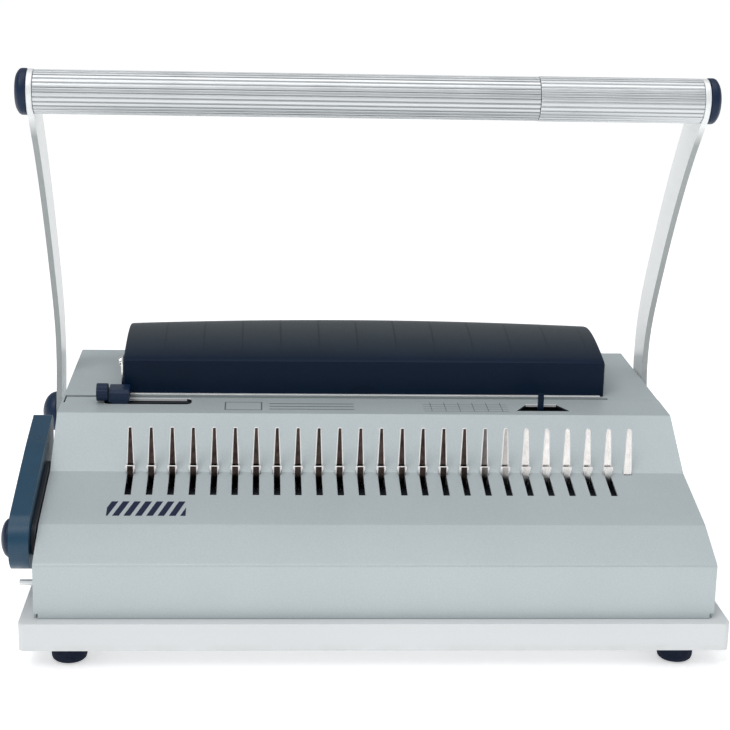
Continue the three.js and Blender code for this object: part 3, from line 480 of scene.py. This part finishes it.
MATERIALS = {
    "housing_print_and_painted_light": powder_coat("housing_grey_printed_and_painted_light", (0.51, 0.565, 0.58), marks=True),
    "housing_grey": powder_coat("housing_grey", (0.51, 0.565, 0.58)),
    "tray_white": tray_paint(),
    "navy_plastic": moulded("navy_plastic", (0.004, 0.018, 0.052), shine=0.3),
    # The hood's crown colour is a painted sheen on its top.
    "hood_plastic": moulded(
        "hood_plastic", (0.001, 0.010, 0.030), rough=(0.3, 0.42), shine=0.14, crown=(0.045, 0.056, 0.064)
    ),
    "lever_blue": moulded("lever_blue", (0.007, 0.050, 0.098), rough=(0.26, 0.38), shine=0.45),
    "silver_paint": silver_paint(),
    "grip_aluminium": drawn_aluminium(),
    "polished_steel": bright_steel(),
    "tine_steel": chromed_steel(),
    "satin_plate": satin_plate(),
    "plain_steel": rolled_steel(),
    "dark_steel": blackened_steel(),
    "black_rubber": foot_rubber(),
    "chip_plastic": moulded("chip_plastic", (0.045, 0.052, 0.062), rough=(0.45, 0.6)),
}

# ---------------------------------------------------------------- mesh helpers


def dress(node, material, bevel=0.0):
    """A CAD node keeps its shape, gets its material, and has its sharp edges eased by bevel millimetres."""
    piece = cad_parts[node]
    piece.data.materials.clear()
    piece.data.materials.append(MATERIALS[material])
    for polygon in piece.data.polygons:
        polygon.use_smooth = True
    weld = piece.modifiers.new("weld", "WELD")
    weld.merge_threshold = 1e-6
    flat = piece.modifiers.new("flat", "DECIMATE")
    flat.decimate_type = "DISSOLVE"
    flat.angle_limit = math.radians(0.5)
    if bevel:
        ease = piece.modifiers.new("ease", "BEVEL")
        ease.width = bevel * MM
        ease.segments = 2
        ease.limit_method = "ANGLE"
        ease.angle_limit = math.radians(32)
    weigh(piece)


def weigh(piece):
    normals = piece.modifiers.new("normals", "WEIGHTED_NORMAL")
    normals.keep_sharp = True
    normals.weight = 80


def new_piece(name, bm, material, body, slot, *nodes):
    """Turns a bmesh into a piece that rides on a body and stands for CAD nodes."""
    bmesh.ops.remove_doubles(bm, verts=bm.verts, dist=1e-6)
    bmesh.ops.recalc_face_normals(bm, faces=bm.faces)
    mesh = bpy.data.meshes.new(name)
    bm.to_mesh(mesh)
    bm.free()
    piece = bpy.data.objects.new(name, mesh)
    bpy.context.scene.collection.objects.link(piece)
    mesh.materials.append(MATERIALS[material])
    mesh.shade_smooth()
    mesh.set_sharp_from_angle(angle=math.radians(50))
    weigh(piece)
    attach(piece, body)
    if nodes:
        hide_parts(*nodes)
    return piece


def skin(rings, closed=False):
    """Skins equal rings of points, with end caps unless the rings close on themselves."""
    bm = bmesh.new()
    loops = [[bm.verts.new(p) for p in ring] for ring in rings]
    count = len(rings[0])
    pairs = list(zip(loops, loops[1:])) + ([(loops[-1], loops[0])] if closed else [])
    for a, b in pairs:
        for i in range(count):
            j = (i + 1) % count
            bm.faces.new((a[i], a[j], b[j], b[i]))
    if not closed:
        bm.faces.new(loops[0])
        bm.faces.new(loops[-1])
    return bm


def ease_edges(bm, width, chosen, segments=3):
    edges = [e for e in bm.edges if chosen(e)]
    bmesh.ops.bevel(
        bm, geom=edges, offset=width * MM, segments=segments, profile=0.5, affect="EDGES", clamp_overlap=True
    )


def prism_x(outline, x0, x1, bevel=0.0, segments=3):
    """A solid between x0 and x1 whose outline is a list of (y, z)."""
    bm = skin([[row(x, y, z) for y, z in outline] for x in (x0, x1)])
    if bevel:
        flat = 1e-7
        ease_edges(bm, bevel, lambda e: abs(e.verts[0].co.x - e.verts[1].co.x) < flat, segments)
    return bm


def prism_y(outline, y0, y1, bevel=0.0, segments=2):
    """A solid between y0 and y1 whose outline is a list of (x, z)."""
    bm = skin([[row(x, y, z) for x, z in outline] for y in (y0, y1)])
    if bevel:
        flat = 1e-7
        ease_edges(bm, bevel, lambda e: abs(e.verts[0].co.y - e.verts[1].co.y) < flat, segments)
    return bm


def prism_z(outline, z0, z1):
    """A solid between z0 and z1 whose outline is a list of (x, y)."""
    return skin([[row(x, y, z) for x, y in outline] for z in (z0, z1)])


def block(x0, x1, y0, y1, z0, z1):
    return prism_z([(x0, y0), (x1, y0), (x1, y1), (x0, y1)], z0, z1)


def merged(*parts):
    bm = bmesh.new()
    for part in parts:
        mesh = bpy.data.meshes.new("part")
        part.to_mesh(mesh)
        part.free()
        bm.from_mesh(mesh)
        bpy.data.meshes.remove(mesh)
    return bm


def carved(body, *tools):
    """The body with every tool taken out of it, one after another."""
    meshes = []
    for bm in (body, *tools):
        bmesh.ops.recalc_face_normals(bm, faces=bm.faces)
        mesh = bpy.data.meshes.new("solid")
        bm.to_mesh(mesh)
        bm.free()
        meshes.append(mesh)
    target = bpy.data.objects.new("solid", meshes[0])
    bpy.context.scene.collection.objects.link(target)
    cutters = []
    for mesh in meshes[1:]:
        cutter = bpy.data.objects.new("cutter", mesh)
        bpy.context.scene.collection.objects.link(cutter)
        cutters.append(cutter)
        carve = target.modifiers.new("carve", "BOOLEAN")
        carve.operation = "DIFFERENCE"
        carve.solver = "EXACT"
        carve.object = cutter
    bpy.context.view_layer.update()
    result = bmesh.new()
    result.from_object(target, bpy.context.evaluated_depsgraph_get())
    for thing in (target, *cutters):
        bpy.data.objects.remove(thing)
    for mesh in meshes:
        bpy.data.meshes.remove(mesh)
    return result


def arc(centre, radius, start, end, steps):
    """Points round a centre, the angles in degrees."""
    turns = [math.radians(start + (end - start) * i / steps) for i in range(steps + 1)]
    return [(centre[0] + radius * math.cos(t), centre[1] + radius * math.sin(t)) for t in turns]


def ring_x(x, centre, radius, steps):
    return [row(x, y, z) for y, z in arc(centre, radius, 0, 360 * (1 - 1 / steps), steps - 1)]


def rod_x(x0, x1, centre, radius, steps=32):
    return skin([ring_x(x, centre, radius, steps) for x in (x0, x1)])


def rounded(points, radii, steps=4, closed=True):
    """The chain with each corner turned into an arc; radii is one number or one for each point."""
    count = len(points)
    radii = [radii] * count if isinstance(radii, (int, float)) else radii
    result = []
    for i, corner in enumerate(points):
        if radii[i] <= 0 or (not closed and i in (0, count - 1)):
            result.append(corner)
            continue
        p = Vector(corner)
        before = (Vector(points[i - 1]) - p)
        after = (Vector(points[(i + 1) % count]) - p)
        half = before.angle(after) / 2
        reach = min(radii[i] / math.tan(half), before.length * 0.48, after.length * 0.48)
        radius = reach * math.tan(half)
        start, end = p + before.normalized() * reach, p + after.normalized() * reach
        centre = p + (before.normalized() + after.normalized()).normalized() * (radius / math.sin(half))
        a, b = start - centre, end - centre
        sweep = a.angle_signed(b) if a.length and b.length else 0.0
        for k in range(steps + 1):
            turn = Matrix.Rotation(-sweep * k / steps, 2)
            result.append(tuple(centre + turn @ a))
    return result


def turned(profile, face, direction, centre, steps=64):
    """A solid of revolution about a line along X; profile is a list of (radius, distance from the face)."""
    rings = [ring_x(face + direction * d, centre, max(r, 0.001), steps) for r, d in profile]
    return skin(rings)


def spline(points, steps):
    """A smooth chain through the points."""
    padded = [points[0], *points, points[-1]]
    result = []
    for p0, p1, p2, p3 in zip(padded, padded[1:], padded[2:], padded[3:]):
        for k in range(steps):
            t = k / steps
            result.append(tuple(
                0.5 * (
                    2 * b
                    + (c - a) * t
                    + (2 * a - 5 * b + 4 * c - d) * t * t
                    + (3 * b - a - 3 * c + d) * t ** 3
                )
                for a, b, c, d in zip(p0, p1, p2, p3)
            ))
    return [*result, tuple(points[-1])]


# ---------------------------------------------------------------- housing


def skin_height(node, lowest):
    """Height of a cover's outer skin over its depth, read from the corners of its end wall above a height."""
    _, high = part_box(node)
    corners = {
        (round(v.co.y / MM - DATUM[1], 2), round(v.co.z / MM, 2))
        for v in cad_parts[node].data.vertices
        if v.co.x > high.x - 1e-6 and v.co.z > lowest * MM
    }
    return sorted(corners)


def offset_chain(chain, distance):
    """The chain moved to its right-hand side."""
    normals = []
    for (y0, z0), (y1, z1) in zip(chain, chain[1:]):
        length = math.hypot(y1 - y0, z1 - z0)
        normals.append(((z1 - z0) / length, (y0 - y1) / length))
    result = []
    for i, (y, z) in enumerate(chain):
        a, b = normals[max(i - 1, 0)], normals[min(i, len(normals) - 1)]
        scale = distance / (1 + a[0] * b[0] + a[1] * b[1])
        result.append((y + (a[0] + b[0]) * scale, z + (a[1] + b[1]) * scale))
    return result


def tine_x(index):
    return FIRST_TINE_X + index * PITCH


SHEET = 1.5
FOLD_RADIUS = 2.2


def cover_solid(node, chain, throat, open_ends):
    """A folded sheet with eased folds and corners, open below and crisp at its throat corner."""
    x0, x1, _, _, z0, _ = extent(node)
    outer = rounded(chain, [0 if i == throat else FOLD_RADIUS for i in range(len(chain))], 4, closed=False)
    bm = skin([[row(x, y, z) for y, z in outer] for x in (x0, x1)])
    top = min(z for y, z in chain if z > z0 + 20) * MM
    ease_edges(
        bm,
        1.1,
        lambda e: abs(e.verts[0].co.x - e.verts[1].co.x) < 1e-7
        and max(v.co.z for v in e.verts) >= top - 1e-6
        and min(v.co.z for v in e.verts) > (z0 + 1) * MM,
    )
    radii = [0, *[FOLD_RADIUS - SHEET] * (len(chain) - 2), 0, 0]
    inner = rounded(open_ends(offset_chain(chain, SHEET)), radii, 4)
    hollow = skin([[row(x, y, z) for y, z in inner] for x in (x0 + SHEET, x1 - SHEET)])
    return bm, hollow


def front_cover():
    x0, x1, y0, y1, z0, _ = extent("front_cover")
    corners = skin_height("front_cover", z0 + 30)
    chain = [(y0, z0), *corners, (y1, z0)]
    body, hollow = cover_solid(
        "front_cover",
        chain,
        len(chain) - 2,
        lambda inner: [
            (inner[0][0], z0 - 5),
            *inner[1:-2],
            (y1 + 5, corners[-1][1] - SHEET + 0.1),
            (y1 + 5, z0 - 5),
        ],
    )
    tools = [hollow]
    slots = [block(tine_x(i) - 2.2, tine_x(i) + 2.2, 69, 95.3, 80, 115) for i in range(HOOK_COUNT)]
    holes = [block(tine_x(i) - 3.1, tine_x(i) + 3.1, 95.0, 98.7, 80, 115) for i in range(TINE_COUNT)]
    tools += [merged(*slots), merged(*holes)]
    guide_slot = [(-188, 163.5), (-125, 163.5), (-125, 176.5), (-188, 176.5)]
    tools.append(prism_z(rounded(guide_slot, 4.6, 8), 120, 140))
    tools.append(block(THROAT_X[0], THROAT_X[0] + 1.2, THROAT_FRONT_Y - 13, y1 + 1, 120, 140))
    tools.append(prism_z([(108.8, 152), (147.4, 152), (139.8, 167), (117.7, 167)], 120, 140))
    tools.append(rod_x(x0 - 2, x0 + 2, LEVER_AXIS, 4.2, 24))
    for x in (x0, x1):
        tools.append(block(x - 2.6, x + 2.6, -3, 2.6, z0 - 1, z0 + 3.2))
    sheet = carved(body, *tools)
    new_piece("front_cover_sheet", sheet, "housing_print_and_painted_light", "base", "housing_grey", "front_cover")


def rear_cover():
    x0, x1, y0, y1, z0, _ = extent("rear_cover")
    corners = skin_height("rear_cover", 120)
    chain = [(y0, z0), *corners, (y1, z0)]
    body, hollow = cover_solid(
        "rear_cover",
        chain,
        1,
        lambda inner: [
            (y0 - 5, z0 - 5),
            (y0 - 5, corners[0][1] - SHEET - 0.1),
            *inner[2:-1],
            (inner[-1][0] + 0.4, z0 - 5),
        ],
    )
    throat = block(THROAT_X[0], THROAT_X[1], y0 - 1, THROAT_REAR_Y, 120, 140)
    tools = [hollow, throat, block(-170, 170, 196, 264, 120, 140), rod_x(x0 - 2, x1 + 2, HANDLE_AXIS, 8, 40)]
    new_piece("rear_cover_sheet", carved(body, *tools), "housing_grey", "base", "housing_grey", "rear_cover")


# ---------------------------------------------------------------- tray and feet


def base_tray():
    x0, x1, y0, y1, z0, z1 = extent("base_tray")
    sides = [(x0, y0), (x1, y0), (x1, y1), (x0, y1)]
    body = skin([[row(x, y, z) for x, y in rounded(sides, 4.0, 6)] for z in (z0, z1)])
    top = z1 * MM - 1e-6
    ease_edges(body, 1.3, lambda e: min(v.co.z for v in e.verts) > top, 3)
    wall = 2.0
    inside = [(x0 + wall, y0 + wall), (x1 - wall, y0 + wall), (x1 - wall, y1 - wall), (x0 + wall, y1 - wall)]
    tools = [
        prism_z(rounded(inside, 2.0, 4), z0 - 1, z1 - wall),
        block(-190, 190, 24, 300, 20, z1 + 1),
    ]
    dx0, dx1, _, _, dz0, dz1 = extent("chip_drawer")
    tools.append(block(dx0 - 0.6, dx1 + 0.6, y1 - 5, y1 + 5, dz0 - 0.4, dz1 + 0.5))
    new_piece("base_tray_shell", carved(body, *tools), "tray_white", "base", "tray_white", "base_tray")


def rubber_foot(node):
    x0, x1, y0, y1, _, z1 = extent(node)
    cx, cy, radius = (x0 + x1) / 2, (y0 + y1) / 2, (x1 - x0) / 2
    profile = [(0.01, 0), (7.0, 0), (7.3, 0.5), (8.6, 0.5), (9.8, 0.9), (10.9, 1.9), (radius - 0.1, 3.4)]
    profile += [(radius, 5.0), (radius, z1 - 0.5), (radius - 0.4, z1), (0.01, z1)]
    rings = [[row(x, y, z) for x, y in arc((cx, cy), r, 0, 360 * 47 / 48, 47)] for r, z in profile]
    new_piece(node + "_moulded", skin(rings), "black_rubber", "base", "black_rubber", node)


# ---------------------------------------------------------------- punch hood


def bezier(a, b, c, d, steps):
    points = []
    for k in range(steps + 1):
        t = k / steps
        s = 1 - t
        weights = (s ** 3, 3 * s * s * t, 3 * s * t * t, t ** 3)
        points.append(tuple(sum(w * p[i] for w, p in zip(weights, (a, b, c, d))) for i in (0, 1)))
    return points


def hood_section(inset, crown):
    front, rear = HOOD_FRONT_Y + inset, HOOD_REAR_Y - inset
    crease, top = HOOD_CREASE_Z - inset * 0.6, HOOD_TOP_Z - inset
    rise = bezier((front, crease), (front + 17, crease + 4.5), (front + 40, top), (front + 64, top), 14)
    fall = bezier((front + 64, top), (front + 87, top), (rear - 3, crease + 1), (rear, crease - 14), 16)
    bottom = 118.0
    upper = [*rise, *fall[1:]]
    lifted = [(y, z + crown * max(z - crease, 0) / (top - crease)) for y, z in upper]
    face = [(front, bottom), (front, crease - 1.2), (front + 0.35, crease - 0.35)]
    return [*face, *lifted[1:], (rear, bottom)]


def hood_solid(inset, ease):
    x0, x1, _, _, _, _ = extent("punch_hood")
    middle, half = (x0 + x1) / 2, (x1 - x0) / 2 - inset
    stations = [(-half + d, e) for d, e in ease]
    stations += [(-half + 2.4 + (2 * half - 4.8) * i / 24, 0) for i in range(25)]
    stations += [(half - d, e) for d, e in reversed(ease)]
    rings = []
    for x, drawn_in in stations:
        crown = HOOD_CROWN * (1 - (x / half) ** 2)
        rings.append([row(middle + x, y, z) for y, z in hood_section(inset + drawn_in, crown)])
    return skin(rings)


def punch_hood():
    covers = skin_height("rear_cover", 120)
    (ya, za), (yb, zb) = covers[0], covers[-1]

    def seat_z(y):
        return za + (zb - za) * (y - ya) / (yb - ya) + HOOD_SEAT_GAP

    front, rear = HOOD_FRONT_Y - 5, HOOD_REAR_Y + 5
    seat = prism_x([(front, 100), (rear, 100), (rear, seat_z(rear)), (front, seat_z(front))], -200, 200)
    thumb = skin([
        [row(9.6 * c, y, seat_z(HOOD_FRONT_Y) + 7 * s) for c, s in arc((0, 0), 1, 0, 352.5, 47)]
        for y in (HOOD_FRONT_Y - 4, HOOD_FRONT_Y + 0.9)
    ])
    body = carved(
        hood_solid(0, [(0, 1.4), (0.4, 0.6), (1.1, 0.15)]),
        hood_solid(HOOD_WALL, [(0, 0.2), (0.4, 0.1), (1.1, 0.05)]),
        seat,
        thumb,
    )
    new_piece("punch_hood_moulding", body, "hood_plastic", "base", "navy_plastic", "punch_hood")


def hood_screw():
    x0, x1, y0, y1, z0, z1 = extent("hood_bracket_screw")
    centre, radius = ((y0 + y1) / 2, (z0 + z1) / 2), (y1 - y0) / 2
    profile = [(0, 0), (radius, 0), (radius, 1.0), (radius * 0.9, 1.5), (radius * 0.6, 2.0), (0, 2.2)]
    head = turned(profile, x1, -1, centre, 40)
    cy, cz = centre
    slot = block(x0 - 1, x0 + 0.9, cy - radius - 1, cy + radius + 1, cz - 0.45, cz + 0.45)
    across = block(x0 - 1, x0 + 0.9, cy - 0.45, cy + 0.45, cz - radius * 0.6, cz + radius * 0.6)
    piece = carved(head, slot, across)
    new_piece("hood_screw_head", piece, "polished_steel", "base", "polished_steel", "hood_bracket_screw")


# ---------------------------------------------------------------- tines and hooks


def lean(bm, base_z, amount):
    for v in bm.verts:
        v.co.y += amount * (v.co.z - base_z * MM)
    return bm


def tine_bar():
    bar = extent("tine_bar")
    base_z, tip_z, y = 88.0, bar[5], 96.7
    height = tip_z - base_z
    half = [(2.8, 0), (2.8, 13), (1.8, height - 1.8), (1.5, height - 0.7), (0.8, height)]
    blade = [*half, *[(-x, z) for x, z in reversed(half)]]
    parts = []
    for i in range(TINE_COUNT):
        outline = [(tine_x(i) + x, base_z + z) for x, z in blade]
        parts.append(lean(prism_y(outline, y - 0.75, y + 0.75, 0.6, 3), base_z, 0.06))
    holder = block(bar[0], bar[1], 95.4, 104, 78, 91)
    ease_edges(holder, 0.6, lambda e: True, 2)
    new_piece("tine_row", merged(*parts), "tine_steel", "base", "polished_steel", "tine_bar")
    new_piece("tine_holder", holder, "dark_steel", "base", "polished_steel")


def hook_bar():
    x0, x1, _, _, z0, top = extent("hook_bar")
    foot = 86.5
    half = [(0.9, foot), (0.9, 90), (1.9, 97.5), (1.9, 101.2), (3.5, 101.9), (3.5, top - 0.5), (3.0, top)]
    outline = [*half, *[(-x, z) for x, z in reversed(half)]]
    parts = []
    for i in range(HOOK_COUNT):
        shape = [(tine_x(i) + x, z) for x, z in outline]
        parts.append(prism_y(shape, 93.0, 94.6, 0.6, 3))
    holder = block(x0, x1, 84, 94.6, z0, 88)
    ease_edges(holder, 0.6, lambda e: True, 2)
    new_piece("hook_row", merged(*parts), "tine_steel", "hooks", "polished_steel", "hook_bar")
    new_piece("hook_holder", holder, "dark_steel", "hooks", "polished_steel")


# ---------------------------------------------------------------- comb opener lever


def opener_lever():
    x0, x1, _, _, _, _ = extent("opener_lever")
    hub = arc(LEVER_AXIS, LEVER_HUB_RADIUS, -58, -250, 28)
    top = [(63.5, 105), (105, 116.5), (146, 125.5)]
    under = [(152, 121), (150, 103), (144, 94), (105, 83), (63.5, 68)]
    radii = [0] * len(hub) + [40, 60, 5] + [5, 7, 9, 60, 30]
    outline = rounded([*hub, *top, *under], radii, 6)
    blade = prism_x(outline, x0, x1, 3.2, 6)
    new_piece("opener_lever_blade", blade, "lever_blue", "opener", "lever_blue", "opener_lever")


def dome(node, name, body, rim=1.2, steps=10):
    """A domed cap on an outer face; the dome points away from the middle of the machine."""
    x0, x1, y0, y1, z0, z1 = extent(node)
    radius, height = (y1 - y0) / 2, x1 - x0
    centre = ((y0 + y1) / 2, (z0 + z1) / 2)
    side = 1 if x0 > 0 else -1
    face = x0 if side > 0 else x1
    profile = [(0, 0), (radius - 0.4, 0), (radius, 0.4), (radius, rim)]
    for i in range(1, steps + 1):
        angle = math.pi / 2 * i / steps
        profile.append((radius * math.cos(angle), rim + (height - rim) * math.sin(angle)))
    new_piece(name, turned(profile, face, side, centre), "navy_plastic", body, "navy_plastic", node)


# ---------------------------------------------------------------- handle


def ribbon(spine, half_width, end_steps=14):
    """Outline of a band along a chain, with half-round ends."""
    heading = [math.atan2(b[1] - a[1], b[0] - a[0]) for a, b in zip(spine, spine[1:])]
    turns = [heading[0]] + [(a + b) / 2 for a, b in zip(heading, heading[1:])] + [heading[-1]]
    left = [(y - half_width * math.sin(t), z + half_width * math.cos(t)) for (y, z), t in zip(spine, turns)]
    right = [(y + half_width * math.sin(t), z - half_width * math.cos(t)) for (y, z), t in zip(spine, turns)]
    start, end = math.degrees(turns[0]), math.degrees(turns[-1])
    tip = arc(spine[-1], half_width, end - 90, end + 90, end_steps)
    heel = arc(spine[0], half_width, start + 90, start + 270, end_steps)
    return [*right[1:-1], *tip, *reversed(left[1:-1]), *heel]


def handle_arm(node):
    x0, x1, _, _, _, _ = extent(node)
    spine = spline([*ARM_SPINE, GRIP_AXIS], 9)
    bar = prism_x(ribbon(spine, ARM_HALF_WIDTH), x0, x1, 0.7, 3)
    shaft = rod_x(x0 - 2, x1 + 2, HANDLE_AXIS, 7.3, 40)
    bolt = rod_x(x0 - 2, x1 + 2, GRIP_AXIS, 5.3, 32)
    new_piece(node + "_bar", carved(bar, shaft, bolt), "silver_paint", "handle", "silver_paint", node)


def grip_tube(node, phase):
    """A fluted tube: broad crests, narrow grooves, a plain bore and eased ends."""
    x0, x1, _, _, z0, z1 = extent(node)
    radius = (z1 - z0) / 2
    per_flute = 12
    crest = []
    for k in range(per_flute):
        t = k / per_flute
        groove = max(0.0, 1 - abs(t - 0.71) / 0.2)
        crest.append(1 - groove * groove * (3 - 2 * groove))

    def ring(x, outer):
        points = []
        for i in range(FLUTES * per_flute):
            flute, k = divmod(i, per_flute)
            turn = 2 * math.pi * (flute + k / per_flute + phase) / FLUTES
            r = outer - FLUTE_DEPTH * (1 - crest[k]) if outer > GRIP_BORE else outer
            points.append(row(x, GRIP_AXIS[0] + r * math.cos(turn), GRIP_AXIS[1] + r * math.sin(turn)))
        return points

    outer = [(x0, radius - 0.2), (x0 + 0.1, radius - 0.05), (x0 + 0.3, radius), (x1 - 0.3, radius)]
    outer += [(x1 - 0.1, radius - 0.05), (x1, radius - 0.2)]
    rings = [ring(x, r) for x, r in outer] + [ring(x1, GRIP_BORE), ring(x0, GRIP_BORE)]
    new_piece(node + "_fluted", skin(rings, closed=True), "grip_aluminium", "handle", "grip_aluminium", node)


def grip_cap(node):
    x0, x1, _, _, z0, z1 = extent(node)
    side = 1 if x0 > 0 else -1
    face = x0 if side > 0 else x1
    radius = (z1 - z0) / 2
    outline = rounded([(radius, 0), (radius, 4.6), (11.4, 7.5), (0, 8)], [0.4, 3.0, 9.0, 0], 6, closed=False)
    profile = [(0, 0), (radius - 0.4, 0), (radius, 0.4), *outline[1:]]
    piece = turned(profile, face, side, GRIP_AXIS)
    new_piece(node + "_moulded", piece, "navy_plastic", "handle", "navy_plastic", node)


# ---------------------------------------------------------------- the whole machine


def dress_carried_nodes():
    """CAD nodes whose shape is already right: a material each, and eased edges."""
    steel = [
        "bottom_plate", "side_plate_left", "side_plate_right", "front_tie_rod", "rear_tie_rod",
        "opener_crossbar", "opener_bearing_left", "opener_bearing_right", "hook_fork_left", "hook_fork_right",
        "opener_crank", "opener_link", "yoke_crank_left", "yoke_crank_right", "punch_guide_plate",
        "paper_stop", "grip_rod", "punch_cam_left", "punch_cam_right",
    ]
    for node in steel:
        dress(node, "plain_steel", 0.3)
    for node in ("handle_bush_left", "handle_bush_right", "hood_bracket"):
        dress(node, "polished_steel", 0.25)
    for node in ("throat_strip", "lever_stop_pin"):
        dress(node, "satin_plate", 0.3)
    for node in ("opener_shaft", "punch_bar", "handle_shaft"):
        dress(node, "polished_steel", 0.4)
    for node in ("edge_guide", "edge_guide_knob"):
        dress(node, "navy_plastic", 0.7 if node == "edge_guide" else 0.35)
    dress("margin_pointer", "hood_plastic", 0.3)
    dress("opener_lever_plate", "dark_steel", 0.4)
    dress("die_plate", "dark_steel", 0.3)
    dress("handle_return_spring", "dark_steel")
    dress("chip_drawer", "chip_plastic", 0.6)


def build_machine():
    dress_carried_nodes()
    front_cover()
    rear_cover()
    base_tray()
    for node in ("foot_front_left", "foot_front_right", "foot_rear_left", "foot_rear_right"):
        rubber_foot(node)
    punch_hood()
    hood_screw()
    tine_bar()
    hook_bar()
    opener_lever()
    dome("opener_lever_cap", "opener_lever_dome", "opener")
    dome("handle_pivot_cap_left", "pivot_dome_left", "handle")
    dome("handle_pivot_cap_right", "pivot_dome_right", "handle")
    handle_arm("handle_arm_left")
    handle_arm("handle_arm_right")
    grip_tube("grip_tube_long", 0.0)
    grip_tube("grip_tube_short", 0.5)
    grip_cap("grip_cap_left")
    grip_cap("grip_cap_right")


make_camera()
light_studio()
lay_floor()
build_machine()
